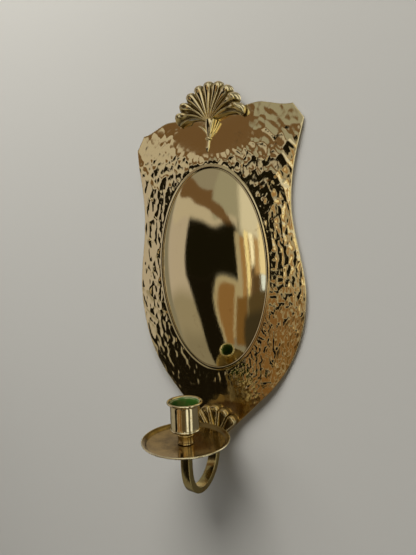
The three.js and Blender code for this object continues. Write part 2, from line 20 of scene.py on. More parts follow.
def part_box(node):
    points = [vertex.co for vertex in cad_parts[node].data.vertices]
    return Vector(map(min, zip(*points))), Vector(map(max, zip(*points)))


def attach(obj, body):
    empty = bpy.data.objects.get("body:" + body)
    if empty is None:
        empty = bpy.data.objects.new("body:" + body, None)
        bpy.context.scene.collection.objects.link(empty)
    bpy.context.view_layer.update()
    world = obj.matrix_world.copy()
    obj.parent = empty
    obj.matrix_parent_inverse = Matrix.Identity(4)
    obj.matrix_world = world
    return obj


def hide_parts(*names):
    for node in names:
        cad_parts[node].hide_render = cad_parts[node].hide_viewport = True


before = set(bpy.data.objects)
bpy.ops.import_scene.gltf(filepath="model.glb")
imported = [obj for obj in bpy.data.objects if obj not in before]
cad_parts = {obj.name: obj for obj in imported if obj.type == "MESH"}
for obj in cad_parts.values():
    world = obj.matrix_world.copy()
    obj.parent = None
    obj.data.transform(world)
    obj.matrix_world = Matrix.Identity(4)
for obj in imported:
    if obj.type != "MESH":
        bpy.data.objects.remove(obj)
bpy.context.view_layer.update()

MM = 0.001
log = logging.getLogger("sconce")

Array = np.ndarray
Number = int | float
Colour = tuple[float, float, float]


# ---------------------------------------------------------------------------------------- named options


class Body(Enum):
    """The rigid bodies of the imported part."""

    BRACKET = "bracket"
    PAN = "pan"
    NECK = "neck"
    CUP = "cup"


class Slot(Enum):
    """The material slots, by name."""

    HAMMERED = "hammered_brass"
    CAST = "cast_brass"
    STRAP = "strap_brass"
    PAN = "pan_brass"
    TURNED = "turned_brass"
    DULL = "dull_brass"


class Socket(Enum):
    """The kinds of input that a recipe can have."""

    NUMBER = "NodeSocketFloat"
    WHOLE = "NodeSocketInt"
    OBJECT = "NodeSocketObject"


# ---------------------------------------------------------------------------------------- node graphs


class Graph:
    """Writes nodes into a node tree, with one method for every type of node."""

    def __init__(self, tree: bpy.types.NodeTree) -> None:
        """Takes the tree.

        Args:
            tree: the node tree to write to.
        """
        self.tree = tree

    def node(
        self,
        kind: str,
        settings: dict | None = None,
        inputs: dict | None = None,
        out: int | str = 0,
    ) -> "Value":
        """Adds a node.

        Args:
            kind: the node's type name.
            settings: its properties, set before its sockets.
            inputs: a number, colour or Value for each socket, by name or index.
            out: the output to return.

        Returns:
            The chosen output, or an empty Value for a node that has none.
        """
        made = self.tree.nodes.new(kind)
        for name, value in (settings or {}).items():
            setattr(made, name, value)
        for key, value in (inputs or {}).items():
            self.feed(made.inputs[key], value)
        return Value(self, made.outputs[out] if len(made.outputs) else None)

    def feed(self, socket: bpy.types.NodeSocket, value: object) -> None:
        """Links a Value to a socket, or sets the socket's own number, vector or colour.

        Args:
            socket: the socket.
            value: what goes into it.
        """
        if isinstance(value, Value):
            self.tree.links.new(value.socket, socket)
        elif isinstance(value, (tuple, list)) and socket.type == "RGBA":
            socket.default_value = (*value[:3], 1.0)
        else:
            socket.default_value = value

    def step(self, value: "Value", low: Number, high: Number) -> "Value":
        """A smooth step.

        Args:
            value: the number to test.
            low: where the step is still 0.
            high: where it has reached 1; below low, the step falls instead.

        Returns:
            0 to 1.
        """
        settings = {"interpolation_type": "SMOOTHSTEP", "clamp": True}
        if low <= high:
            ends = {"From Min": low, "From Max": high, "To Min": 0.0, "To Max": 1.0}
        else:
            ends = {"From Min": high, "From Max": low, "To Min": 1.0, "To Max": 0.0}
        return self.node("ShaderNodeMapRange", settings, {"Value": value, **ends})

    def blend(self, factor: "Value | Number", a: "Value | Colour", b: "Value | Colour") -> "Value":
        """Mixes two colours.

        Args:
            factor: 0 gives a and 1 gives b.
            a: the first colour.
            b: the second colour.

        Returns:
            The mixed colour.
        """
        return self.node("ShaderNodeMix", {"data_type": "RGBA"}, {0: factor, 6: a, 7: b}, out=2)

    def noise(self, where: "Value", scale: Number, detail: Number = 2.0, rough: Number = 0.5) -> "Value":
        """A noise of about 0.5 on average.

        Args:
            where: the coordinates.
            scale: cycles in a unit of the coordinates.
            detail: octaves.
            rough: how strong each next octave is.

        Returns:
            The noise.
        """
        inputs = {"Vector": where, "Scale": scale, "Detail": detail, "Roughness": rough}
        return self.node("ShaderNodeTexNoise", None, inputs)

    def parts(self, vector: "Value") -> tuple["Value", "Value", "Value"]:
        """The x, y and z of a vector.

        Args:
            vector: the vector.

        Returns:
            Three values.
        """
        x = self.node("ShaderNodeSeparateXYZ", None, {0: vector})
        outputs = x.socket.node.outputs
        return x, Value(self, outputs[1]), Value(self, outputs[2])

    def vector(self, x: "Value | Number", y: "Value | Number", z: "Value | Number") -> "Value":
        """A vector from three values."""
        return self.node("ShaderNodeCombineXYZ", None, {0: x, 1: y, 2: z})

    def scaled(self, vector: "Value", factors: tuple[float, float, float]) -> "Value":
        """A vector with each component scaled by its own factor."""
        return self.node("ShaderNodeVectorMath", {"operation": "MULTIPLY"}, {0: vector, 1: factors})


class Value:
    """An output socket with arithmetic: each operator adds a Math node."""

    def __init__(self, graph: Graph, socket: bpy.types.NodeSocket | None) -> None:
        """Takes the socket.

        Args:
            graph: the graph that it belongs to.
            socket: the output socket.
        """
        self.graph = graph
        self.socket = socket

    def _math(self, operation: str, *others: "Value | Number", first: bool = True) -> "Value":
        """Adds a Math node.

        Args:
            operation: the node's operation.
            others: the other operands.
            first: whether this value is the first operand.

        Returns:
            The result.
        """
        terms = [self, *others] if first else [*others, self]
        return self.graph.node("ShaderNodeMath", {"operation": operation}, dict(enumerate(terms)))

    def __add__(self, other: "Value | Number") -> "Value":
        """self + other."""
        return self._math("ADD", other)

    __radd__ = __add__

    def __sub__(self, other: "Value | Number") -> "Value":
        """self - other."""
        return self._math("SUBTRACT", other)

    def __rsub__(self, other: Number) -> "Value":
        """other - self."""
        return self._math("SUBTRACT", other, first=False)

    def __mul__(self, other: "Value | Number") -> "Value":
        """self * other."""
        return self._math("MULTIPLY", other)

    __rmul__ = __mul__

    def __truediv__(self, other: "Value | Number") -> "Value":
        """self / other."""
        return self._math("DIVIDE", other)

    def __rtruediv__(self, other: Number) -> "Value":
        """other / self."""
        return self._math("DIVIDE", other, first=False)

    def __pow__(self, other: "Value | Number") -> "Value":
        """self ** other."""
        return self._math("POWER", other)

    def maximum(self, other: "Value | Number") -> "Value":
        """The larger of the two."""
        return self._math("MAXIMUM", other)

    def absolute(self) -> "Value":
        """The distance from zero."""
        return self._math("ABSOLUTE")

    def root(self) -> "Value":
        """The square root."""
        return self._math("SQRT")

    def arcsine(self) -> "Value":
        """The arc sine."""
        return self._math("ARCSINE")

    def angle_over(self, other: "Value") -> "Value":
        """The angle whose tangent is self over other."""
        return self._math("ARCTAN2", other)


# ---------------------------------------------------------------------------------------- finishes

POLISHED: Colour = (0.89, 0.79, 0.47)
TARNISH: Colour = (0.36, 0.22, 0.07)
PAINTED_SHADE: Colour = (0.20, 0.15, 0.06)


@dataclass(frozen=True)
class BrassFinish:
    """A brass surface: polish, patches of tarnish, fine scratches and waves left by the polishing wheel."""

    name: str
    colour: Colour = POLISHED
    rough: float = 0.08
    tarnish: float = 0.25  # how much of the surface is tarnished
    patch: float = 45.0  # tarnish patches to a metre
    stain: Colour = TARNISH
    scratch: float = 0.03  # strength of the scratch bump
    ripple: float = 0.0  # strength of a slow wave in the polish
    painted_hollow_shade: float = 0.0  # how dark the painted shade in the hollows is
    extra: Callable[[Graph, Value, Value, Value], tuple[Value, Value, Value | float]] | None = None

    def build(self) -> bpy.types.Material:
        """Makes the material.

        Returns:
            The material.
        """
        material = bpy.data.materials.new(self.name)
        material.use_nodes = True
        tree = material.node_tree
        tree.nodes.clear()
        graph = Graph(tree)
        where = graph.node("ShaderNodeTexCoord", out="Object")
        cloud = graph.noise(where, self.patch, 4.0, 0.62)
        fine = graph.noise(where, self.patch * 9, 3.0, 0.6)
        clean, full = 0.66 - 0.5 * self.tarnish, 0.80 - 0.3 * self.tarnish
        stained = graph.step(cloud * 0.75 + fine * 0.25, clean, full) * min(1.0, 0.35 + self.tarnish)
        colour = graph.blend(stained, self.colour, self.stain)
        rough = self.rough + stained * 0.16 + (fine - 0.5) * 0.05
        # painted shade: a darker, rougher colour in the hollows that the mesh's hollow attribute marks
        if self.painted_hollow_shade:
            hollow = graph.node("ShaderNodeAttribute", {"attribute_name": "hollow"}, out="Fac")
            dark = graph.step(hollow + (fine - 0.5) * 0.5, 0.25, 0.9) * self.painted_hollow_shade
            colour = graph.blend(dark, colour, PAINTED_SHADE)
            rough = rough + dark * 0.25
        metal = 1.0
        if self.extra:
            colour, rough, metal = self.extra(graph, where, colour, rough)
        shader = graph.node(
            "ShaderNodeBsdfPrincipled",
            None,
            {
                "Base Color": colour,
                "Metallic": metal,
                "Roughness": rough,
                "Normal": self._relief(graph, where),
            },
        )
        graph.node("ShaderNodeOutputMaterial", None, {"Surface": shader})
        return material

    def _relief(self, graph: Graph, where: Value) -> Value:
        """The scratches and waves as a bumped normal.

        Args:
            graph: the material's graph.
            where: the object coordinates.

        Returns:
            The normal.
        """
        hair = graph.noise(graph.scaled(where, (900.0, 900.0, 160.0)), 1.0, 2.0, 0.7)
        wave = graph.noise(where, 55.0, 1.0, 0.4)
        height = hair * (0.00002 * self.scratch / 0.03) + wave * (0.0006 * self.ripple)
        return graph.node("ShaderNodeBump", None, {"Strength": 1.0, "Distance": 1.0, "Height": height})


def plate_wear_and_shade(centre_z: float, half: tuple[float, float], tip_z: float) -> Callable:
    """The plate's marks: a mirror polish on the boss, a browner foot, and a painted shade line in the crease
    round the boss.

    Args:
        centre_z: height of the boss's centre, in metres.
        half: half width and half height of the boss, in metres.
        tip_z: height of the plate's tip, in metres.

    Returns:
        A function for BrassFinish.extra.
    """

    def extra_marks(graph: Graph, where: Value, colour: Value, rough: Value) -> tuple[Value, Value, float]:
        """Adds the marks to the plain finish.

        Args:
            graph: the material's graph.
            where: the object coordinates.
            colour: the colour so far.
            rough: the roughness so far.

        Returns:
            Colour, roughness and metalness.
        """
        x, _, z = graph.parts(where)
        reach = ((x / half[0]) ** 2.0 + ((z - centre_z) / half[1]) ** 2.0).root()
        flange = graph.step(reach, 0.97, 1.02)
        cloud = graph.noise(where, 38.0, 4.0, 0.65)
        foot = graph.step(z + (cloud - 0.5) * 0.06, tip_z + 0.085, tip_z + 0.03)
        # painted shade: a thin dark line in the crease round the boss's edge
        line = graph.step((reach - 1.0).absolute(), 0.010, 0.003)
        drift = z + (cloud - 0.5) * 0.05
        brown = graph.step(x, -0.01, 0.03) * graph.step(drift, tip_z + 0.16, tip_z + 0.11)
        colour = graph.blend(brown * flange * 0.38, colour, TARNISH)
        colour = graph.blend(foot * 0.5, colour, TARNISH)
        colour = graph.blend(line * 0.4, colour, PAINTED_SHADE)
        return colour, 0.055 + (rough - 0.055) * (flange * 0.85 + 0.15) + foot * 0.06, 1.0

    return extra_marks


def rim_highlight(radius: float, axis_y: float) -> Callable:
    """A rim painted paler: a painted highlight along the rolled edge.

    Args:
        radius: the rim's outer radius, in metres.
        axis_y: where the axis stands, in metres.

    Returns:
        A function for BrassFinish.extra.
    """

    def rim(graph: Graph, where: Value, colour: Value, rough: Value) -> tuple[Value, Value, float]:
        """Adds the painted highlight round the rim to the plain finish.

        Args:
            graph: the material's graph.
            where: the object coordinates.
            colour: the colour so far.
            rough: the roughness so far.

        Returns:
            Colour, roughness and metalness.
        """
        x, y, _ = graph.parts(where)
        out = (x ** 2.0 + (y - axis_y) ** 2.0).root()
        bright = graph.step(out, radius - 0.0011, radius - 0.0006)
        return graph.blend(bright, colour, (0.93, 0.86, 0.58)), rough + bright * 0.12, 1.0

    return rim


def cup_bore(radius: float, axis_y: float, floor_z: float, top_z: float) -> Callable:
    """Verdigris inside the candle cup.

    Args:
        radius: the bore's radius, in metres.
        axis_y: where its axis stands, in metres.
        floor_z: height of its floor, in metres.
        top_z: height of the lip, in metres.

    Returns:
        A function for BrassFinish.extra.
    """

    def bore(graph: Graph, where: Value, colour: Value, rough: Value) -> tuple[Value, Value, Value]:
        """Adds the verdigris to the plain finish.

        Args:
            graph: the material's graph.
            where: the object coordinates.
            colour: the colour so far.
            rough: the roughness so far.

        Returns:
            Colour, roughness and metalness.
        """
        x, y, z = graph.parts(where)
        out = (x ** 2.0 + (y - axis_y) ** 2.0).root()
        cloud = graph.noise(where, 160.0, 4.0, 0.6)
        flare = graph.step(z, top_z - 0.0019, top_z - 0.0009) * 0.0011
        reach = out + (cloud - 0.5) * 0.0008 - flare
        inside = graph.step(reach, radius + 0.0008, radius + 0.0004)
        inside = inside * graph.step(z, floor_z - 0.001, floor_z - 0.0005)
        inside = inside * graph.step(z, top_z - 0.0008, top_z - 0.0011)
        green = graph.blend(graph.step(cloud, 0.38, 0.64), (0.026, 0.085, 0.009), (0.075, 0.10, 0.018))
        return graph.blend(inside, colour, green), rough + inside * 0.5, 1.0 - inside

    return bore


# ---------------------------------------------------------------------------------------- mesh tools


def as_mesh(
    name: str,
    points: Array,
    faces: Iterable[Sequence[int]],
    sharp: float = 60.0,
    shades: dict[str, Array] | None = None,
) -> bpy.types.Object:
    """Makes an object from points in millimetres, closed up and facing outwards.

    Args:
        name: the piece's name.
        points: an (n, 3) array, in millimetres.
        faces: the vertex numbers of each face, or none for loose points.
        sharp: edges bent by more than this angle, in degrees, stay sharp.
        shades: a number for each point, by attribute name.

    Returns:
        The object, at the origin.
    """
    mesh = bpy.data.meshes.new(name)
    mesh.from_pydata((np.asarray(points, float) * MM).tolist(), [], [tuple(map(int, f)) for f in faces])
    for label, values in (shades or {}).items():
        layer = mesh.attributes.new(label, "FLOAT", "POINT")
        layer.data.foreach_set("value", np.asarray(values, np.float32))
    work = bmesh.new()
    work.from_mesh(mesh)
    bmesh.ops.remove_doubles(work, verts=work.verts, dist=0.002 * MM)
    bmesh.ops.dissolve_degenerate(work, edges=work.edges, dist=0.001 * MM)
    bmesh.ops.recalc_face_normals(work, faces=work.faces)
    for face in work.faces:
        face.smooth = True
    work.to_mesh(mesh)
    work.free()
    mesh.set_sharp_from_angle(angle=math.radians(sharp))
    made = bpy.data.objects.new(name, mesh)
    bpy.context.scene.collection.objects.link(made)
    return made


def grid(rows: int, columns: int, start: int = 0) -> list[tuple]:
    """The quads between rows of points that close on themselves.

    Args:
        rows: how many rows.
        columns: points in a row.
        start: number of the first point.

    Returns:
        The faces.
    """
    made = []
    for r in range(rows - 1):
        for c in range(columns):
            a = start + r * columns + c
            b = start + r * columns + (c + 1) % columns
            made.append((a, b, b + columns, a + columns))
    return made


def skinned(rings: Sequence[Array]) -> tuple[Array, list[tuple]]:
    """A closed body over rings of equal length, with a flat cap at each end.

    Args:
        rings: (n, 3) arrays.

    Returns:
        Points and faces.
    """
    count = len(rings[0])
    faces = grid(len(rings), count)
    faces.append(tuple(range(count))[::-1])
    last = (len(rings) - 1) * count
    faces.append(tuple(range(last, last + count)))
    return np.vstack(rings), faces


def arc(centre: tuple, radius: float, start: float, end: float, steps: int = 10) -> list[tuple]:
    """Points of an arc, from one angle to another in degrees.

    Args:
        centre: the centre.
        radius: the radius.
        start: the first angle.
        end: the last angle.
        steps: how many stretches.

    Returns:
        The points.
    """
    angles = np.radians(np.linspace(start, end, steps + 1))
    return [(centre[0] + radius * math.cos(a), centre[1] + radius * math.sin(a)) for a in angles]


def straight_run(a: tuple, b: tuple, steps: int) -> Array:
    """Points of a straight stretch, without its last one."""
    return np.linspace(a, b, steps, endpoint=False)


def turned_ring(radius: Array | float, axis: float, z: float, segments: int) -> Array:
    """A ring of points about the upright axis at a height.

    Args:
        radius: its radius, or one for each point.
        axis: y of the axis.
        z: its height.
        segments: how many points.

    Returns:
        A (segments, 3) array.
    """
    angles = np.arange(segments) * 2 * math.pi / segments
    return np.column_stack([radius * np.cos(angles), axis + radius * np.sin(angles), np.full(segments, z)])


def bezier(a: tuple, b: tuple, c: tuple, d: tuple, steps: int) -> Array:
    """Points of a cubic curve, without its last one.

    Args:
        a: start.
        b: first handle.
        c: second handle.
        d: end.
        steps: how many points.

    Returns:
        A (steps, n) array.
    """
    t = (np.arange(steps) / steps)[:, None]
    a, b, c, d = (np.array(p, float) for p in (a, b, c, d))
    return (1 - t) ** 3 * a + 3 * (1 - t) ** 2 * t * b + 3 * (1 - t) * t ** 2 * c + t ** 3 * d


def smooth(value: Array | float, low: float, high: float) -> Array | float:
    """A smooth step from 0 at low to 1 at high.

    Args:
        value: the number or numbers to test.
        low: where the step starts.
        high: where it ends.

    Returns:
        0 to 1.
    """
    t = np.clip((np.asarray(value, float) - low) / (high - low), 0, 1)
    return t * t * (3 - 2 * t)


def node_box(name: str) -> tuple[Array, Array]:
    """A CAD node's lowest and highest corner, in millimetres."""
    low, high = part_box(name)
    return np.array(low) / MM, np.array(high) / MM


def dress(
    piece: bpy.types.Object,
    material: bpy.types.Material,
    body: Body,
    nodes: Sequence[str] = (),
) -> None:
    """Gives a finished piece its material and body, and hides the CAD nodes that it stands for.

    Args:
        piece: the piece.
        material: its material.
        body: the body that it rides on.
        nodes: the CAD nodes that it replaces.
    """
    if not piece.data.materials:
        piece.data.materials.append(material)
    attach(piece, body.value)
    if nodes:
        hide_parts(*nodes)
    log.info("%s: %d faces on %s", piece.name, len(piece.data.polygons), body.value)


def baked(piece: bpy.types.Object) -> bpy.types.Object:
    """Turns a piece's modifiers into its plain mesh.

    Args:
        piece: the piece.

    Returns:
        The same piece, with no modifier.
    """
    graph = bpy.context.evaluated_depsgraph_get()
    graph.update()
    result = bpy.data.meshes.new_from_object(piece.evaluated_get(graph), depsgraph=graph)
    piece.modifiers.clear()
    old = piece.data
    piece.data = result
    bpy.data.meshes.remove(old)
    result.name = piece.name
    return piece


# ---------------------------------------------------------------------------------------- geometry nodes


class Recipe:
    """A Geometry Nodes tree with named inputs."""

    def __init__(self, name: str, inputs: Sequence[tuple[str, Socket, object]]) -> None:
        """Starts the tree with its inputs.

        Args:
            name: the tree's name.
            inputs: name, kind and value of each input after the geometry.
        """
        self.tree = bpy.data.node_groups.new(name, "GeometryNodeTree")
        face = self.tree.interface
        face.new_socket("Geometry", in_out="INPUT", socket_type="NodeSocketGeometry")
        face.new_socket("Geometry", in_out="OUTPUT", socket_type="NodeSocketGeometry")
        self.values = {n: v for n, _, v in inputs}
        self.keys = {}
        for label, kind, _ in inputs:
            self.keys[label] = face.new_socket(label, in_out="INPUT", socket_type=kind.value).identifier
        self.graph = Graph(self.tree)
        source = self.tree.nodes.new("NodeGroupInput")
        self.inputs = {s.name: Value(self.graph, s) for s in source.outputs if s.name}

    def finish(self, geometry: Value, material: bpy.types.Material) -> None:
        """Ends the tree.

        Args:
            geometry: what the tree made.
            material: the material of the result.
        """
        real = self.graph.node("GeometryNodeRealizeInstances", None, {"Geometry": geometry})
        painted = self.graph.node("GeometryNodeSetMaterial", None, {"Geometry": real, "Material": material})
        out = self.tree.nodes.new("NodeGroupOutput")
        self.tree.links.new(painted.socket, out.inputs[0])

    def run(self, piece: bpy.types.Object) -> bpy.types.Object:
        """Runs the tree on a piece and keeps the result as its mesh.

        Args:
            piece: the piece.

        Returns:
            The same piece.
        """
        modifier = piece.modifiers.new(self.tree.name, "NODES")
        modifier.node_group = self.tree
        for label, key in self.keys.items():
            modifier[key] = self.values[label]
        return baked(piece)


# ---------------------------------------------------------------------------------------- back plate


@dataclass
class BackPlate:
    """One sheet of brass, planished round a polished oval boss, with edges that lean back to the wall."""

    crest_apart: float = 96.0  # between the two crests of the top edge
    crest_dip: float = 4.0
    shoulder_fall: float = 7.4
    corner_cut: tuple[float, float] = (9.3, 13.1)
    waist_inset: tuple[float, float] = (9.0, 12.0)  # left, right
    waist_drop: float = 87.0
    hip_inset: float = 0.7
    hip_drop: float = 163.0
    taper: float = 53.0
    boss_margin: tuple[float, float, float] = (34.0, 50.6, 73.1)  # side, top, tip
    front: float = -6.0  # face of the sheet where it lies flat
    sheet: float = 1.0
    crown: float = 2.5  # how far the sheet stands forward round the upper part of the boss
    foot_crown: float = 0.5  # and under it
    boss_rise: float = 13.0
    boss_fullness: float = 2.6
    bead_width: float = 3.4
    bead_rise: float = 0.5
    fall_left: float = 3.4  # how far the flange falls back to the edge
    fall_right: float = 5.2
    fall_top: float = 5.3
    fall_tip: float = 0.5
    fineness: int = 10  # columns to each stretch of the outline's drawing
    cell: float = 6.1  # width of a hammer mark
    turn: float = 1.4  # marks to a turn round the boss, against its half width
    depth: float = 1.45  # of a full hammer mark
    fine_mark: float = 0.62  # size of the finer marks down the right side, against the others
    waviness: float = 0.22  # height of the waves between the marks
    slow_wave: float = 0.5  # height of the long waves of the whole sheet

    def __post_init__(self) -> None:
        """Takes the sheet's outer sizes from the frame and samples its face."""
        low, high = node_box("back_plate")
        self.half_width = (high[0] - low[0]) / 2
        self.top, self.tip = float(high[2]), float(low[2])
        side, above, below = self.boss_margin
        self.half = (self.half_width - side, (self.top - self.tip - above - below) / 2)
        self.centre = self.top - above - self.half[1]
        self.rim = self._outline()
        self.columns = len(self.rim)
        self._face()
        self._index()

    def _half(self, inset: float) -> Array:
        """Half of the outline, from the middle of the top edge to the tip.

        Args:
            inset: how far the waist lies inside the corners.

        Returns:
            (n, 2) points.
        """
        wide, top, taper, n = self.half_width, self.top, self.taper, self.fineness
        crest, dip = self.crest_apart / 2, top - self.crest_dip
        waist, waist_z = wide - inset, top - self.waist_drop
        hip, hip_z = wide - self.hip_inset, top - self.hip_drop
        cut = top - self.shoulder_fall
        shoulder, corner = wide - self.corner_cut[0], cut - self.corner_cut[1]
        reach, taper_z = shoulder - crest, self.tip + taper
        crest_at, cut_at, corner_at = (crest, top), (shoulder, cut), (wide, corner)
        waist_at, hip_at, taper_at = (waist, waist_z), (hip, hip_z), (taper, taper_z)
        return np.vstack(
            [
                bezier((0, dip), (0.42 * crest, dip), (0.75 * crest, top), crest_at, 6 * n),
                bezier(crest_at, (crest + 0.3 * reach, top), (shoulder - 0.4 * reach, cut), cut_at, 6 * n),
                straight_run(cut_at, corner_at, 2 * n),
                bezier(corner_at, (wide - 2.8, corner - 14), (waist, waist_z + 30), waist_at, 8 * n),
                bezier(waist_at, (waist, waist_z - 25), (hip, hip_z + 25), hip_at, 6 * n),
                bezier(hip_at, (hip, hip_z - 35), (taper + 21, taper_z + 21), taper_at, 8 * n),
                straight_run(taper_at, (0, self.tip), 6 * n),
            ]
        )

    def _outline(self) -> Array:
        """The whole outline, right side first.

        Returns:
            (n, 2) points.
        """
        left = self._half(self.waist_inset[0])[1:] * (-1, 1)
        return np.vstack([self._half(self.waist_inset[1]), [(0, self.tip)], left[::-1]])

    def _oval(self, grow: float) -> Array:
        """The boss's oval grown by a distance, met by each column.

        Args:
            grow: how far outside the boss.

        Returns:
            (n, 2) points.
        """
        toward = self.rim - (0, self.centre)
        reach = 1 / np.hypot(toward[:, 0] / (self.half[0] + grow), toward[:, 1] / (self.half[1] + grow))
        return toward * reach[:, None] + (0, self.centre)

    def _crown(self, z: Array) -> Array:
        """How far the sheet stands forward round the boss, at a height."""
        return self.foot_crown + (self.crown - self.foot_crown) * smooth(z, self.tip + 62, self.centre + 20)

    def _flange_height(self, u: float) -> Array:
        """How far the flange stands forward of the flat, for each column.

        Args:
            u: 0 at the boss and 1 at the edge.

        Returns:
            One number for each column.
        """
        x, z = self.rim.T
        crown = self._crown(self._oval(self.bead_width)[:, 1])
        left = self.fall_left * (1 - 0.75 * smooth(z, -150, -205))
        side = left + (self.fall_right - left) * smooth(x, -20, 20)
        top = self.fall_top + 1.4 * (x / self.half_width) ** 2
        fall = side + (top - side) * smooth(z, -12, 18)
        tipward = smooth(z, self.tip + 85, self.tip + 40)
        early = np.clip(u / 0.42, 0, 1)
        even = fall * u ** 1.3
        foot = self.fall_tip * early * early * (3 - 2 * early)
        return crown - (even + (foot - even) * tipward)

    def _blow_strength(self, points: Array, u: float) -> Array:
        """How deep the hammer marks are on one ring of the flange.

        Args:
            points: the ring.
            u: 0 at the boss and 1 at the edge.

        Returns:
            0 to about 1 for each column.
        """
        x, z = points.T
        strength = 0.42 + 0.58 * smooth(z, 12, -30)
        strength *= 1 - 0.68 * smooth(z, -140, -205) * smooth(x, 12, -12)
        calm = np.hypot((x - 4) / 44, (z - 10) / 20)
        strength *= 0.06 + 0.94 * smooth(calm, 0.75, 1.25)
        foot = np.hypot((x - 6) / 40, (z - self.tip - 18) / 42)
        strength *= 0.15 + 0.85 * smooth(foot, 0.8, 1.2)
        return strength * smooth(u, 0.0, 0.07) * (1 - 0.45 * smooth(u, 0.93, 1.0))

    def _face(self) -> None:
        """Samples the front of the sheet as rings of (x, z, rise, strength)."""
        rings = []
        middle = np.array([(0, self.centre)])
        inner = self._oval(0)
        base = self._crown(inner[:, 1])
        for t in np.sin(np.linspace(0.05, 0.5, 26) * math.pi):
            lean = self._crown(self.centre) * (1 - t) + base * t
            rise = lean + self.boss_rise * (1 - t ** self.boss_fullness)
            rings.append((middle + (inner - middle) * t, rise, np.zeros(self.columns)))
        for k in np.linspace(0.1, 1.0, 10):
            swell = self.bead_rise * max(0.0, math.sin(math.pi * k)) ** 0.8
            ring = self._oval(self.bead_width * k)
            rings.append((ring, self._crown(ring[:, 1]) + swell, np.zeros(self.columns)))
        start = self._oval(self.bead_width)
        for u in np.linspace(0, 1, 57)[1:]:
            points = start + (self.rim - start) * u
            rings.append((points, self._flange_height(u), self._blow_strength(points, u)))
        self.rings = rings

    def _index(self) -> None:
        """Prepares the lookup of the sheet's face under a place."""
        self.tree = KDTree(len(self.rings) * self.columns)
        self.rises = np.concatenate([r for _, r, _ in self.rings])
        for i, (x, z) in enumerate(np.vstack([p for p, _, _ in self.rings])):
            self.tree.insert((x, 0.0, z), i)
        self.tree.balance()

    def face_at(self, x: float, z: float) -> float:
        """Y of the sheet's front face at a place.

        Args:
            x: across.
            z: up.

        Returns:
            Y in millimetres.
        """
        found = self.tree.find_n((x, 0.0, z), 3)
        weights = [1 / (distance + 0.05) for _, _, distance in found]
        rise = sum(w * self.rises[i] for w, (_, i, _) in zip(weights, found)) / sum(weights)
        return self.front - rise

    def _blank(self) -> bpy.types.Object:
        """The sheet before it is planished, with its depth of blow as a point attribute.

        Returns:
            The object.
        """
        n, points, strength = self.columns, [], []
        for ring, rise, blow in self.rings:
            points.append(np.column_stack([ring[:, 0], self.front - rise, ring[:, 1]]))
            strength.append(blow)
        last, rise, blow = self.rings[-1]
        pull = (last - (0, self.centre)) / np.hypot(*(last - (0, self.centre)).T)[:, None]
        points[-1][:, [0, 2]] -= 0.3 * pull
        for inset, drop in ((0.06, 0.14), (0.0, 0.4), (0.0, self.sheet - 0.3), (0.15, self.sheet)):
            edge = last - inset * pull
            points.append(np.column_stack([edge[:, 0], self.front - rise + drop, edge[:, 1]]))
            strength.append(blow)
        front_rows = len(points)
        faces = grid(front_rows, n)
        apex = np.array([(0, self.front - float(self._crown(self.centre)) - self.boss_rise, self.centre)])
        back = self.rings[-2::-2]
        base = front_rows * n
        half = n // 2
        for ring, rise, blow in back:
            y = self.front - rise[::2] + self.sheet
            points.append(np.column_stack([ring[::2, 0], y, ring[::2, 1]]))
            strength.append(blow[::2])
        rim_row = (front_rows - 1) * n
        for c in range(half):
            a, b, d = rim_row + 2 * c, rim_row + 2 * c + 1, rim_row + (2 * c + 2) % n
            e, f = base + c, base + (c + 1) % half
            faces += [(a, b, e), (b, f, e), (b, d, f)]
        faces += grid(len(back), half, base)
        points.append(apex)
        points.append(apex + (0, self.sheet, 0))
        strength.append(np.zeros(2))
        front_apex = base + len(back) * half
        inner = base + (len(back) - 1) * half
        faces += [((c + 1) % n, c, front_apex) for c in range(n)]
        faces += [(inner + c, inner + (c + 1) % half, front_apex + 1) for c in range(half)]
        blows = {"blow": np.concatenate(strength)}
        return as_mesh("hammered_back_plate", np.vstack(points), faces, 75, blows)

    @staticmethod
    def _marks(graph: Graph, where: Value, width: Value) -> Value:
        """Shallow dishes side by side with soft ridges between.

        Args:
            graph: the tree's graph.
            where: the unrolled coordinates.
            width: width of a dish.

        Returns:
            Height, 0 in the middle of a dish.
        """
        settings = {"feature": "SMOOTH_F1", "voronoi_dimensions": "2D"}
        inputs = {"Vector": where, "Scale": 1.0 / width, "Smoothness": 0.36, "Randomness": 0.86}
        return graph.node("ShaderNodeTexVoronoi", settings, inputs) ** 2.6

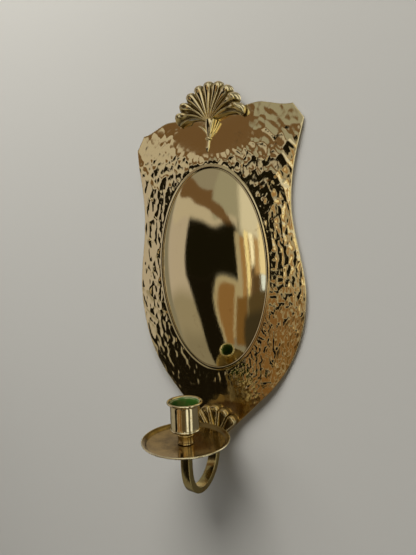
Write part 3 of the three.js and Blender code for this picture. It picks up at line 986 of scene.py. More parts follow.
    def _planishing(self, material: bpy.types.Material) -> Recipe:
        """The tree that presses the hammer marks, which run round the boss.

        Args:
            material: the sheet's material.

        Returns:
            The recipe.
        """
        values = {
            "Mark width": self.cell,
            "Mark depth": self.depth,
            "Turn radius": self.half[0] * self.turn,
            "Boss half width": self.half[0],
            "Boss half height": self.half[1],
            "Boss centre": self.centre,
            "Waviness": self.waviness,
            "Slow wave": self.slow_wave,
        }
        recipe = Recipe("planishing", [(label, Socket.NUMBER, value) for label, value in values.items()])
        g, get = recipe.graph, recipe.inputs
        x, _, z = g.parts(g.scaled(g.node("GeometryNodeInputPosition"), (1 / MM,) * 3))
        up = z - get["Boss centre"]
        a, b = x / get["Boss half width"], up / get["Boss half height"]
        q = (a * a + b * b).root().maximum(0.05)
        beyond = (x * x + up * up).root() * (1.0 - 1.0 / q)
        unrolled = g.vector(a.angle_over(b) * get["Turn radius"], beyond, 0.0)
        sway = g.node("ShaderNodeTexNoise", None, {"Vector": unrolled, "Scale": 0.07, "Detail": 1.0}, out=1)
        bend = {0: sway, 1: (6.0, 6.0, 0.0), 2: unrolled}
        bent = g.node("ShaderNodeVectorMath", {"operation": "MULTIPLY_ADD"}, bend)
        coarse = self._marks(g, bent, get["Mark width"])
        fine = self._marks(g, bent, get["Mark width"] * self.fine_mark) * self.fine_mark
        finer = g.step(x, 0.0, 40.0) * g.step(z, -10.0, -120.0)
        force = 0.35 + g.noise(unrolled, 0.13, 1.0) * 1.3
        dish = (coarse + (fine - coarse) * finer) * force - 0.06
        wave = (g.noise(bent, 0.3, 1.0) - 0.5) * get["Waviness"]
        blow = g.node("GeometryNodeInputNamedAttribute", {"data_type": "FLOAT"}, {"Name": "blow"})
        slow = (g.noise(g.scaled(g.vector(x, z, 0.0), (1.6, 0.7, 1.0)), 0.02, 1.0) - 0.5) * get["Slow wave"]
        lift = ((dish * get["Mark depth"] + wave) * blow + slow) * -MM
        shift = {"Geometry": get["Geometry"], "Offset": g.vector(0.0, lift, 0.0)}
        moved = g.node("GeometryNodeSetPosition", None, shift)
        recipe.finish(moved, material)
        return recipe

    def build(self) -> bpy.types.Object:
        """Makes the planished plate.

        Returns:
            The piece.
        """
        extra_marks = plate_wear_and_shade(self.centre * MM, (self.half[0] * MM, self.half[1] * MM), self.tip * MM)
        material = BrassFinish("planished_brass", rough=0.07, tarnish=0.12, ripple=0.05, extra=extra_marks).build()
        piece = self._planishing(material).run(self._blank())
        dress(piece, material, Body.BRACKET, ["back_plate"])
        return piece


# ---------------------------------------------------------------------------------------- cast shells


@dataclass
class Fan:
    """The lobes of a casting, laid out from a root."""

    lobes: int
    step: float  # angle of a lobe, in degrees
    radius: float
    spread: float  # how much longer the outermost lobes are
    notch: float  # depth of the notches between the tips
    bend: float = 0.0  # how much straighter the lobes start, as a share of their angle
    across: int = 26  # points across a lobe
    along: int = 60  # points along it

    def layout(self) -> tuple[Array, Array, Array, Array, Array]:
        """Places the points of the fan's face.

        Returns:
            Place across the lobe (-1 to 1), place along it (0 to 1), how far out the lobe is (-1 to 1),
            the angle, and the distance from the root, each as (columns, rows).
        """
        lobe = np.arange(self.lobes * self.across + 1) / self.across
        number = np.minimum(np.floor(lobe), self.lobes - 1)
        a = 2 * (lobe - number) - 1
        angle = np.radians((lobe - self.lobes / 2) * self.step)
        bend = self.bend * (0.7 + 0.9 * (2 * lobe / self.lobes - 1) ** 2)
        outward = 2 * (number + 0.5) / self.lobes - 1
        reach = self.radius + self.spread * (2 * lobe / self.lobes - 1) ** 2
        length = reach - self.notch * (1 - np.sqrt(1 - 0.97 * a * a))
        s = np.sin(np.linspace(0, 1, self.along + 1)[1:] * math.pi / 2) ** 0.9
        rows = np.ones_like(s)
        return (
            np.outer(a, rows),
            np.outer(np.ones_like(a), s),
            np.outer(outward, rows),
            np.outer(angle, rows) * (1 - np.outer(bend, 1 - s ** 1.8)),
            np.outer(length, s),
        )

    def skin(
        self, name: str, height: Array, hollow: Array, place: Callable[[Array, Array, Array], Array]
    ) -> bpy.types.Object:
        """Closes the face into a casting with a back.

        Args:
            name: the piece's name.
            height: height of each point of the face over the back.
            hollow: 0 to 1 for each point, 1 where the colour gets the most painted shade.
            place: turns across, up and height into points of the part.

        Returns:
            The piece.
        """
        _, _, _, angle, r = self.layout()
        columns, rows = r.shape
        x, z = r * np.sin(angle), r * np.cos(angle)
        front = place(x.ravel(), z.ravel(), height.ravel())
        behind = place(x.ravel(), z.ravel(), np.zeros(x.size))
        count = columns * rows
        root = place(np.zeros(2), np.zeros(2), np.array([height[:, 0].mean(), 0.0]))
        points = np.vstack([front, behind, root])
        faces = []
        for c in range(columns - 1):
            for k in range(rows - 1):
                i = c * rows + k
                faces.append((i, i + 1, i + rows + 1, i + rows))
                faces.append((count + i, count + i + rows, count + i + rows + 1, count + i + 1))
            faces.append((2 * count, c * rows, (c + 1) * rows))
            faces.append((2 * count + 1, count + (c + 1) * rows, count + c * rows))
            tip = c * rows + rows - 1
            faces.append((tip, count + tip, count + tip + rows, tip + rows))
        for side, turn in ((0, 1), (columns - 1, -1)):
            line = [side * rows + k for k in range(rows)]
            pairs = [(2 * count, 2 * count + 1, line[0], count + line[0])]
            pairs += [(line[k], count + line[k], line[k + 1], count + line[k + 1]) for k in range(rows - 1)]
            for a, b, c, d in pairs:
                quad = (a, b, d, c)
                faces.append(quad if turn > 0 else quad[::-1])
        # painted shade for the hollow attribute: the face's own values, and 0.8 on the back against the
        # plate
        shade = np.concatenate([hollow.ravel(), np.full(x.size, 0.8), [0.5, 0.8]])
        return as_mesh(name, points, faces, 70, {"hollow": shade})


@dataclass
class Palmette:
    """The casting at the head: nine fingers with curled tips, a calyx of two leaves, a node and a tail."""

    plate: BackPlate
    below_crest: float = 10.0
    offset: float = 2.8
    lean: float = 2.0  # degrees
    stem: float = 26.0
    back: float = -6.3
    sunk: float = 0.8  # how deep the mouldings reach into the plate
    overhang: float = 0.44  # how far the back stands behind its seat where it is clear of the plate
    fan: Fan = field(default_factory=lambda: Fan(9, 19.6, 35.7, 2.3, 5.2, 0.2))

    def _fingers(self) -> tuple[Array, Array]:
        """The fan's face.

        Returns:
            Its height and how much painted shade each point gets, each as the fan's layout.
        """
        a, s, outward, _, _ = self.fan.layout()
        curl = smooth(np.abs(outward), 0.45, 0.75)
        narrow = 1 - 0.42 * curl * np.exp(-(((s - 0.60) / 0.15) ** 2))
        finger = np.sqrt(np.clip(1 - (np.abs(a) / (0.80 * narrow)) ** 2.3, 0, 1))
        rib = np.exp(-(((1 - np.abs(a)) / 0.10) ** 2))
        body = 0.9 + 1.7 * s ** 1.5
        lobe = (1.1 + 1.7 * s) * smooth(s, 0.0, 0.25)
        waist = 1 - 0.32 * curl * np.exp(-(((s - 0.62) / 0.14) ** 2))
        bulb = (0.9 + 2.5 * curl) * np.exp(-(((s - 0.88) / 0.09) ** 2)) * np.clip(1 - a * a, 0, 1) ** 0.6
        border = 0.65 * rib * smooth(s, 0.25, 0.6) * smooth(s, 0.99, 0.8)
        gap = (1 - finger) * (0.8 + 0.9 * curl) * smooth(s, 0.1, 0.5)
        height = 1.1 + body + lobe * finger * waist + border + bulb - gap
        end = np.sqrt(np.clip(1 - np.clip((s - 0.84) / 0.16, 0, 1) ** 2.4, 0, 1))
        outer = (np.abs(outward) > 1 - 1.5 / self.fan.lobes) * np.clip(a * np.sign(outward), 0, 1)
        # painted shade: darker in the gaps between the fingers, less on their ribs
        painted_shade = (1 - finger) * smooth(s, 0.15, 0.4) * (1 - 0.7 * rib)
        return 0.5 + (height - 0.5) * end * np.sqrt(1 - 0.96 * outer ** 2.4), painted_shade

    def _place(self, x: Array, z: Array, height: Array) -> Array:
        """Turns fan coordinates into the part's.

        Args:
            x: across from the root.
            z: up from the root.
            height: over the back; 0 is the back itself.

        Returns:
            (n, 3) points.
        """
        turn = math.radians(self.lean)
        px = self.offset + x * math.cos(turn) + z * math.sin(turn)
        pz = self.plate.top - self.below_crest - x * math.sin(turn) + z * math.cos(turn)
        behind = np.array([self.plate.face_at(u, v) for u, v in zip(px, pz)])
        over = smooth(pz, self.plate.top - 5, self.plate.top + 3)
        behind = np.minimum(behind, self.back + 1.1) * (1 - over) + (self.back + self.overhang) * over
        y = np.where(height > 0, self.back - height, behind - 0.02)
        return np.column_stack([px, y, pz])

    def _moulding(
        self, name: str, stations: Sequence[tuple[float, float, float, float]], ridges: int = 1
    ) -> bpy.types.Object:
        """A rounded moulding on the plate.

        Args:
            name: the piece's name.
            stations: (x, z, half width, rise) along it.
            ridges: rounded ridges side by side.

        Returns:
            The piece.
        """
        path = np.array(stations, float)
        t = np.linspace(0, len(path) - 1, 6 * (len(path) - 1) + 1)
        fine = np.column_stack([np.interp(t, np.arange(len(path)), path[:, i]) for i in range(4)])
        kernel = np.array([1, 2, 3, 2, 1]) / 9
        for i in range(4):
            padded = np.pad(fine[:, i], 2, mode="edge")
            fine[:, i] = np.convolve(padded, kernel, mode="valid")
        rings = []
        for k, (x, z, half, rise) in enumerate(fine):
            ahead = fine[min(k + 1, len(fine) - 1), :2] - fine[max(k - 1, 0), :2]
            ahead = ahead / np.hypot(*ahead)
            normal = np.array([-ahead[1], ahead[0]])
            angles = np.linspace(0, math.pi, 25)
            ground = min(self.plate.face_at(x, z), self.back + 0.4)
            ring = []
            for w in angles:
                offset = half * math.cos(w)
                dent = 0.30 * rise * abs(math.cos(ridges * w)) if ridges > 1 else 0.0
                up = max(0.0, rise * math.sin(w) ** 0.8 - dent * math.sin(w))
                ring.append((x + normal[0] * offset, ground - up, z + normal[1] * offset))
            for side in (-0.9 * half, 0.9 * half):
                ring.append((x + normal[0] * side, ground + self.sunk, z + normal[1] * side))
            rings.append(np.array(ring))
        return as_mesh(name, *skinned(rings), 75)

    def build(self) -> None:
        """Makes the fan, the two leaves, and the node with its tail."""
        # painted shade in the gaps and hollows of the casting, at strength 0.9
        material = BrassFinish("cast_brass", rough=0.1, tarnish=0.25, patch=120, painted_hollow_shade=0.9).build()
        fan = self.fan.skin("palmette", *self._fingers(), self._place)
        root = self.plate.top - self.below_crest
        neck = root - 0.46 * self.stem
        left = self._moulding(
            "palmette_leaf_left",
            [
                (self.offset - 1.2, neck + 0.5, 0.8, 2.2),
                (self.offset - 3.6, neck + 5.0, 1.5, 3.8),
                (self.offset - 7.0, neck + 8.6, 1.4, 4.0),
                (self.offset - 11.5, neck + 11.0, 0.5, 2.4),
            ],
        )
        right = self._moulding(
            "palmette_leaf_right",
            [
                (self.offset - 0.6, neck - 0.5, 0.9, 2.4),
                (self.offset + 1.8, neck + 4.5, 1.7, 4.8),
                (self.offset + 4.0, neck + 9.5, 1.7, 6.0),
                (self.offset + 7.0, neck + 14.0, 0.6, 5.0),
            ],
        )
        core = self._moulding(
            "palmette_calyx",
            [
                (self.offset * 0.6, neck - 1.0, 2.0, 2.4),
                (self.offset * 0.85, neck + 4.0, 3.6, 3.2),
                (self.offset, neck + 9.0, 5.2, 4.2),
                (self.offset, neck + 15.0, 3.4, 4.6),
            ],
        )
        tail = self._moulding(
            "palmette_tail",
            [
                (0.2, root - self.stem, 0.5, 0.6),
                (0.4, root - 0.86 * self.stem, 1.9, 1.7),
                (0.7, root - 0.66 * self.stem, 1.8, 1.9),
                (0.9, root - 0.57 * self.stem, 1.9, 2.0),
            ],
            ridges=2,
        )
        knot = self._moulding(
            "palmette_node",
            [
                (0.9, root - 0.60 * self.stem, 1.6, 1.6),
                (1.0, root - 0.54 * self.stem, 2.9, 3.3),
                (1.1, root - 0.50 * self.stem, 2.9, 3.3),
                (1.2, root - 0.45 * self.stem, 1.7, 2.0),
            ],
        )
        dress(fan, material, Body.BRACKET, ["upper_shell"])
        for piece in (left, right, core, tail, knot):
            dress(piece, material, Body.BRACKET)


@dataclass
class FootShell:
    """The casting at the foot: five hollow flutes with raised borders and rolled tips."""

    plate: BackPlate
    above_tip: float = 2.8
    back: float = -6.3
    fan: Fan = field(default_factory=lambda: Fan(5, 19.5, 34.6, -1.5, 4.4, 0.0, 40, 64))

    def _flutes(self) -> tuple[Array, Array]:
        """The fan's face.

        Returns:
            Its height and how much painted shade each point gets, each as the fan's layout.
        """
        a, s, _, _, r = self.fan.layout()
        half = r * math.radians(self.fan.step) / 2
        edge = np.minimum((1 - np.abs(a)) * half, (1 - s) * self.fan.radius * 0.9)
        border = np.exp(-(((edge - 1.2) / 0.62) ** 2))
        hollow = smooth(edge, 1.3, 3.0)
        knob = np.exp(-(((s - 0.86) / 0.07) ** 2) - (a / 0.5) ** 2)
        body = 3.3 + 0.9 * s
        deep = smooth(s, 0.15, 0.55)
        height = body + border * 1.5 * deep - hollow * 2.5 * deep + 1.5 * knob
        end = np.sqrt(np.clip(1 - np.clip((s - 0.92) / 0.08, 0, 1) ** 2, 0, 1))
        gap = smooth(edge, 0.0, 0.7)
        height = height * (0.62 + 0.38 * gap)
        # painted shade: darker down the hollow of each flute and in the gaps between flutes, not on the
        # knobs
        painted_shade = np.maximum(smooth(edge, 1.5, 2.6) * deep * (1 - knob), 1 - smooth(edge, 0.15, 0.6))
        return 0.5 + (height - 0.5) * end, painted_shade

    def _place(self, x: Array, z: Array, height: Array) -> Array:
        """Turns fan coordinates into the part's."""
        y = np.where(height > 0, self.back - height, self.back + 0.2)
        return np.column_stack([x, y, z + self.plate.tip + self.above_tip])

    def build(self) -> None:
        """Makes the shell."""
        # painted shade in the flutes and the gaps between them, at strength 0.95
        material = BrassFinish("foot_brass", (0.80, 0.69, 0.39), 0.09, 0.25, 130, painted_hollow_shade=0.95).build()
        piece = self.fan.skin("foot_shell", *self._flutes(), self._place)
        dress(piece, material, Body.BRACKET, ["lower_shell"])


# ---------------------------------------------------------------------------------------- strap arm


@dataclass
class StrapArm:
    """A strap bent up from a flat foot behind the shell to its front end under the pan."""

    plate: BackPlate
    width: float = 9.2
    thick: float = 5.8
    foot_thick: float = 2.4
    edge: float = 0.6  # radius of the strap's edges
    straight: float = 16.0
    foot_from: float = 2.0  # flat from here above the tip
    steps: tuple[int, ...] = (14, 44, 44, 20, 14)

    def _path(self) -> list[Array]:
        """The centre line in stretches of (y, z) points.

        Returns:
            One array for each stretch.
        """
        low, high = node_box("arm")
        seat = node_box("pan_seat")
        axis = float(seat[0][1] + seat[1][1]) / 2
        top = float(seat[0][2]) - 0.3
        bottom = float(low[2]) + self.thick / 2
        foot = float(high[1]) - self.foot_thick / 2
        span, turn = foot - axis, top - self.straight
        rear, rear_z = foot - self.thick / 2 - 1.4, self.plate.tip - 7
        flat = self.plate.tip + self.foot_from
        middle = (axis + 0.4 * span, bottom)
        drop = rear_z - 0.6 * (rear_z - bottom)
        ends = [
            (((axis, top),) * 2 + ((axis, turn),) * 2),
            ((axis, turn), (axis, turn - 0.62 * (turn - bottom)), (axis + 0.12 * span, bottom), middle),
            (middle, (axis + 0.62 * span, bottom), (rear - 2.6, drop), (rear, rear_z)),
            ((rear, rear_z), (rear + 1.1, rear_z + 4), (foot, flat - 4.5), (foot, flat)),
            (((foot, flat),) * 2 + ((foot, float(high[2])),) * 2),
        ]
        path = [bezier(*e, n) for e, n in zip(ends, self.steps)]
        path[-1] = np.vstack([path[-1], [(foot, float(high[2]))]])
        return path

    def _ring(self, place: Array, tangent: Array, thick: float, inset: float) -> Array:
        """The strap's section with rounded edges.

        Args:
            place: (y, z) of the centre line.
            tangent: its direction.
            thick: thickness there.
            inset: how much smaller the section is, at the ends.

        Returns:
            (n, 3) points.
        """
        w, t = self.width / 2 - inset, thick / 2 - inset
        r = min(self.edge, 0.42 * thick)
        corners = [(w - r, t - r, 0), (-w + r, t - r, 90), (-w + r, -t + r, 180), (w - r, -t + r, 270)]
        section = [p for cx, ct, start in corners for p in arc((cx, ct), r, start, start + 90, 6)]
        through = np.array([-tangent[1], tangent[0]])
        return np.array([(a, *(place + through * b)) for a, b in section])

    def build(self) -> None:
        """Makes the arm."""
        stretches = self._path()
        line = np.vstack(stretches)
        full = sum(map(len, stretches[:3]))
        thinning = smooth(np.linspace(0, 1, len(stretches[3])), 0, 1)
        blend = np.concatenate([np.zeros(full), thinning, np.ones(len(stretches[4]))])
        tangents = np.gradient(line, axis=0)
        tangents /= np.hypot(*tangents.T)[:, None]
        rings = []
        for k, (place, tangent, u) in enumerate(zip(line, tangents, blend)):
            thick = self.thick + (self.foot_thick - self.thick) * u
            if k == 0:
                for ahead, inset in ((0.0, 0.5), (0.12, 0.18), (0.45, 0.0)):
                    rings.append(self._ring(place + tangent * ahead, tangent, thick, inset))
            elif np.hypot(*(place - line[0])) > 0.6:
                rings.append(self._ring(place, tangent, thick, 0.0))
        colour = (0.52, 0.45, 0.20)
        finish = BrassFinish("strap_brass", colour, 0.12, 0.4, 90, scratch=0.04, ripple=0.12)
        material = finish.build()
        piece = as_mesh("strap_arm", *skinned(rings), 50)
        dress(piece, material, Body.BRACKET, ["arm"])


# ---------------------------------------------------------------------------------------- turned pieces


@dataclass
class Turned:
    """A piece turned or spun about the upright axis of the cup."""

    name: str
    axis: float  # y of the axis
    profile: list[tuple[float, float]]  # (radius, z), closed
    segments: int = 144
    sharp: float = 50.0

    def build(self) -> bpy.types.Object:
        """Makes the piece.

        Returns:
            The piece, not yet dressed.
        """
        n = self.segments
        rings = [turned_ring(r, self.axis, z, n) for r, z in self.profile]
        faces = grid(len(rings), n)
        if max(self.profile[0][0], self.profile[-1][0]) > 0:
            last = (len(rings) - 1) * n
            faces += [(last + c, last + (c + 1) % n, (c + 1) % n, c) for c in range(n)]
        return as_mesh(self.name, np.vstack(rings), faces, self.sharp)


@dataclass
class CandleStack:
    """Seat, drip pan, neck, stud and cup, one above the other on the arm's end."""

    stud_hole: float = 1.8
    pan_sheet: float = 0.8
    pan_flat: float = 14.0
    pan_dish: float = 1.2
    pan_rim: float = 4.6
    pan_edge: float = 0.7  # radius of the rolled edge
    spigot: float = 4.0
    spigot_height: float = 1.6
    cup_radius: float = 12.5
    cup_wall: float = 1.2
    cup_floor: float = 5.0
    cup_bead: float = 0.35  # how far the base bead stands out from the body
    bead_radius: float = 1.15
    bead_height: float = 3.9  # of the bead's middle above the cup's foot
    lip_flare: float = 2.9
    lip_height: float = 4.2
    lip_roll: float = 0.95  # radius of the rolled lip
    thread_pitch: float = 0.8
    thread_depth: float = 0.32

    def __post_init__(self) -> None:
        """Reads the places of the stack from the frame."""
        self.seat_box = node_box("pan_seat")
        self.pan_box = node_box("drip_pan")
        self.neck_box = node_box("cup_neck")
        self.cup_box = node_box("candle_cup")
        self.stud_box = node_box("arm_stud")
        self.axis = float(self.seat_box[0][1] + self.seat_box[1][1]) / 2

    def seat(self) -> None:
        """The washer under the pan."""
        low, high = float(self.seat_box[0][2]), float(self.seat_box[1][2])
        r = float(self.seat_box[1][0])
        half = (high - low) / 2
        round_edge = arc((r - half, low + half), half, -90, 90, 12)
        profile = [(self.stud_hole, low), *round_edge, (self.stud_hole, high)]
        piece = Turned("pan_seat_washer", self.axis, profile, 72).build()
        material = BrassFinish("seat_brass", rough=0.2, tarnish=0.5).build()
        dress(piece, material, Body.BRACKET, ["pan_seat"])

    def pan(self) -> None:
        """The spun pan with a dished floor, a sloping rim and a rolled edge."""
        low, r = float(self.pan_box[0][2]), float(self.pan_box[1][0])
        top = float(self.pan_box[1][2])
        edge, sheet = self.pan_edge, self.pan_sheet
        foot = r - self.pan_rim
        u = np.linspace(0, 1, 15)
        radii = self.pan_flat + (foot - self.pan_flat) * u
        dish = self.pan_dish * u ** 2
        hub = np.linspace(self.stud_hole, self.pan_flat, 6)[:-1]
        under = [(x, low) for x in hub] + [(x, low + d) for x, d in zip(radii, dish)]
        over = [(x, low + sheet) for x in hub] + [(x, low + sheet + d) for x, d in zip(radii, dish)]
        outer = self._sweep(under[-1], (r - edge * 0.8, top - edge * 1.9), 0.35)
        inner = self._sweep(over[-1], (r - edge * 1.9, top - edge * 0.6), 0.35)
        roll = arc((r - edge, top - edge), edge, -60, 150, 14)
        profile = [*under, *outer, *roll, *inner[::-1], *over[::-1]]
        piece = Turned("spun_drip_pan", self.axis, profile, 192).build()
        # painted highlight: a paler band round the pan's rolled edge
        extra_marks = rim_highlight(r * MM, self.axis * MM)
        stain = (0.14, 0.095, 0.03)
        finish = BrassFinish("pan_brass", (0.30, 0.215, 0.08), 0.09, 0.5, 60, stain, 0.04, 0.1, 0.0, extra_marks)
        dress(piece, finish.build(), Body.PAN, ["drip_pan"])

    @staticmethod
    def _sweep(start: tuple, end: tuple, bow: float) -> list[tuple]:
        """A hollow curve from the pan's floor up to its edge, without its ends.

        Args:
            start: (radius, z) on the floor.
            end: (radius, z) at the edge.
            bow: where the curve turns flatter again, 0 to 1.

        Returns:
            The points between.
        """
        corner = (start[0] + 0.5, start[1] + 0.1)
        knee = (start[0] + (end[0] - start[0]) * bow, start[1] + (end[1] - start[1]) * 0.7)
        curve = bezier(start, corner, knee, end, 12)
        return [tuple(p) for p in curve[1:]]

    def neck(self) -> None:
        """The short turned neck, waisted a little, with a spigot for the cup."""
        low, high = float(self.neck_box[0][2]), float(self.neck_box[1][2])
        r, top = float(self.neck_box[1][0]), high - self.spigot_height
        z = np.linspace(low + 0.5, top - 0.5, 17)
        waist = r - 0.45 * np.sin(np.linspace(0, math.pi, 17)) ** 0.7
        profile = [
            (self.stud_hole, low),
            (r - 0.5, low),
            *arc((r - 0.5, low + 0.4), 0.4, -90, 0, 4),
            *[(float(a), float(b)) for a, b in zip(waist, z)],
            *arc((r - 0.5, top - 0.4), 0.4, 0, 90, 4),
            (self.spigot, top),
            (self.spigot, high - 0.3),
            (self.spigot - 0.3, high),
            (self.stud_hole, high),
        ]
        piece = Turned("turned_neck", self.axis, profile, 112).build()
        finish = BrassFinish("neck_brass", (0.84, 0.66, 0.30), 0.14, 0.3, 110, scratch=0.05)
        dress(piece, finish.build(), Body.NECK, ["cup_neck"])

    def cup(self) -> None:
        """The cup: cavetto foot with a bead, straight body, rolled lip, and a bore with a flared mouth."""
        low, top = float(self.cup_box[0][2]), float(self.cup_box[1][2])
        body, bore = self.cup_radius, self.cup_radius - self.cup_wall
        neck = float(self.neck_box[1][0])
        recess, ceiling = self.spigot + 0.3, low + self.spigot_height + 0.3
        bead, bead_z, roll = self.bead_radius, low + self.bead_height, self.lip_roll
        bead_x = body + self.cup_bead - bead
        lip, lip_z = body + self.lip_flare - roll, top - self.lip_height
        floor = low + self.cup_floor
        foot_end, flare_end = (bead_x, bead_z - bead), (lip, top - 1.85)
        mouth_start = (lip - 0.5, top - 0.12)
        foot = bezier((neck, low), (neck + 0.2, low + 1.2), (neck + 1.6, low + 2.2), foot_end, 8)
        flare = bezier((body, lip_z), (body + 0.1, top - 2.6), (body + 0.9, top - 2.0), flare_end, 9)
        mouth = bezier(mouth_start, (bore + 1.4, top - 0.5), (bore + 0.1, top - 1.6), (bore, lip_z), 9)
        profile = [
            (0.0, ceiling),
            (recess, ceiling),
            (recess, low),
            (neck, low),
            *[tuple(p) for p in foot[1:]],
            *arc((bead_x, bead_z), bead, -90, 78, 14),
            (body + 0.05, bead_z + bead + 0.2),
            *[(body, float(z)) for z in np.linspace(bead_z + bead + 0.8, lip_z - 0.4, 9)],
            *[tuple(p) for p in flare],
            *arc((lip, top - roll), roll, -70, 100, 14),
            *[tuple(p) for p in mouth],
            *[(bore, float(z)) for z in np.linspace(lip_z, floor + 0.8, 7)],
            *arc((bore - 0.7, floor + 0.7), 0.7, 0, -90, 5),
            (0.0, floor),
        ]
        piece = Turned("candle_cup_body", self.axis, profile, 160).build()
        extra_marks = cup_bore(bore * MM, self.axis * MM, floor * MM, top * MM)
        colour = (0.88, 0.80, 0.52)
        finish = BrassFinish("cup_brass", colour, 0.09, 0.2, 110, scratch=0.05, ripple=0.06, extra=extra_marks)
        dress(piece, finish.build(), Body.CUP, ["candle_cup"])

    def stud(self) -> None:
        """The stud with its helical thread, inside the arm, the pan and the neck."""
        low, high = float(self.stud_box[0][2]), float(self.stud_box[1][2])
        r = float(self.stud_box[1][0])
        segments, per_pitch = 32, 10
        z = np.linspace(low + 0.4, high - 0.4, int((high - low) / self.thread_pitch * per_pitch))
        angles = np.arange(segments) * 2 * math.pi / segments
        rings = [turned_ring(r - 0.5, self.axis, low, segments)]
        for level in z:
            phase = (level / self.thread_pitch - angles / (2 * math.pi)) % 1.0
            radius = r - self.thread_depth * np.abs(2 * phase - 1) ** 1.2
            rings.append(turned_ring(radius, self.axis, level, segments))
        rings.append(rings[0] + (0, 0, high - low))
        piece = as_mesh("threaded_stud", *skinned(rings), 40)
        material = BrassFinish("stud_brass", rough=0.3, tarnish=0.5).build()
        dress(piece, material, Body.BRACKET, ["arm_stud"])

    def build(self) -> None:
        """Makes the five pieces."""
        self.seat()
        self.pan()
        self.neck()
        self.stud()
        self.cup()


# ---------------------------------------------------------------------------------------- back of the plate


@dataclass
class Fixings:
    """The hammered tails of the pegs and rivets on the back, and the hanger with its solder."""

    plate: BackPlate
    tail: float = 2.6  # radius of a tail
    height: float = 1.3
    shank_length: float = 3.2
    solder_half: float = 3.6  # half the width of a solder pad
    solder_in: float = 3.9  # from the hanger's end to a pad's middle
    solder_short: float = 0.6  # how much the pad stops short of the flange, above and below

    def _seat_points(self) -> Array:
        """Where each peg and rivet comes through the back of the sheet.

        Returns:
            (n, 3) points.
        """
        names = sorted(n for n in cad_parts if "rivet" in n)
        places = []
        for name in names:
            low, high = node_box(name)
            x, z = float(low[0] + high[0]) / 2, float(low[2] + high[2]) / 2
            places.append((x, self.plate.face_at(x, z) + self.plate.sheet, z))
        self.names = names
        return np.array(places)

    def _tail(self) -> bpy.types.Object:
        """One tail, domed by the hammer, standing on its shank along +Y.

        Returns:
            The object that the tree copies.
        """
        shank, deep = self.tail * 0.5, self.shank_length
        r, h = self.tail, self.height
        profile = [(0.0, -deep), (shank, -deep), (shank, 0.0), (r - 0.15, 0.0), (r, 0.2), (r * 0.97, 0.5)]
        for a in np.linspace(0.2, 1.45, 6):
            profile.append((r * math.cos(a) * 0.97, 0.5 + (h - 0.5) * math.sin(a)))
        profile.append((0.0, h))
        n = 32
        rings = [turned_ring(a, 0.0, b, n)[:, [0, 2, 1]] for a, b in profile]
        return as_mesh("rivet_tail", np.vstack(rings), grid(len(rings), n), 50)

    def tails(self) -> None:
        """All the tails, set on their places by a tree."""
        seats = self._seat_points()
        made = as_mesh("rivet_tails", seats, [])
        tail = self._tail()
        material = BrassFinish("rivet_brass", (0.74, 0.60, 0.32), 0.26, 0.5, 150, scratch=0.08).build()
        inputs = [
            ("Tail", Socket.OBJECT, tail),
            ("Least size", Socket.NUMBER, 0.94),
            ("Largest size", Socket.NUMBER, 1.05),
            ("Seed", Socket.WHOLE, 7),
        ]
        recipe = Recipe("riveting", inputs)
        g, get = recipe.graph, recipe.inputs
        own_place = {"transform_space": "ORIGINAL"}
        one = g.node("GeometryNodeObjectInfo", own_place, {"Object": get["Tail"]}, out="Geometry")
        ends = {2: get["Least size"], 3: get["Largest size"], "Seed": get["Seed"]}
        size = g.node("FunctionNodeRandomValue", {"data_type": "FLOAT"}, ends, out=1)
        points = g.node("GeometryNodeMeshToPoints", None, {"Mesh": get["Geometry"]})
        copy = {"Points": points, "Instance": one, "Scale": size}
        copies = g.node("GeometryNodeInstanceOnPoints", None, copy)
        recipe.finish(copies, material)
        recipe.run(made)
        made.data.shade_smooth()
        made.data.set_sharp_from_angle(angle=math.radians(50))
        bpy.data.objects.remove(tail)
        dress(made, material, Body.BRACKET, self.names)

    def hanger(self) -> None:
        """Dresses the hanger strap and adds the solder under its flanges."""
        material = BrassFinish("hanger_brass", (0.60, 0.47, 0.24), 0.34, 0.6, 70, scratch=0.1).build()
        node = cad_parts["hanger"]
        node.data.materials.clear()
        node.data.materials.append(material)
        low, high = node_box("hanger")
        solder = BrassFinish("solder", (0.42, 0.41, 0.38), 0.42, 0.3, 120, (0.2, 0.19, 0.17), 0.1).build()
        bottom, top = float(low[2]) + self.solder_short, float(high[2]) - self.solder_short
        ends = {"left": float(low[0]) + self.solder_in, "right": float(high[0]) - self.solder_in}
        for side, x in ends.items():
            piece = self._pad(f"hanger_solder_{side}", x, bottom, top, float(low[1]))
            dress(piece, solder, Body.BRACKET)

    def _pad(self, name: str, x: float, low: float, high: float, flange: float) -> bpy.types.Object:
        """A pad of solder between a flange and the sheet, with a hollow fillet round it.

        Args:
            name: the piece's name.
            x: its middle.
            low: its lowest z.
            high: its highest z.
            flange: y of the flange's face towards the sheet.

        Returns:
            The piece.
        """
        up, middle = (high - low) / 2, (low + high) / 2
        angles = np.linspace(0, 2 * math.pi, 56, endpoint=False)
        across, along = (np.sign(v) * np.abs(v) ** 0.45 for v in (np.cos(angles), np.sin(angles)))
        rings = []
        for spread, share in ((-0.2, 1.0), (0.0, 0.8), (0.35, 0.45), (0.8, 0.18), (1.3, 0.0)):
            px = x + across * (self.solder_half + spread)
            pz = middle + along * (up + spread)
            back = np.array([self.plate.face_at(a, b) + self.plate.sheet for a, b in zip(px, pz)])
            rings.append(np.column_stack([px, back + (flange - 0.02 - back) * share, pz]))
        return as_mesh(name, *skinned(rings), 60)

    def build(self) -> None:
        """Makes the tails and dresses the hanger."""
        self.tails()
        self.hanger()


# ---------------------------------------------------------------------------------------- studio


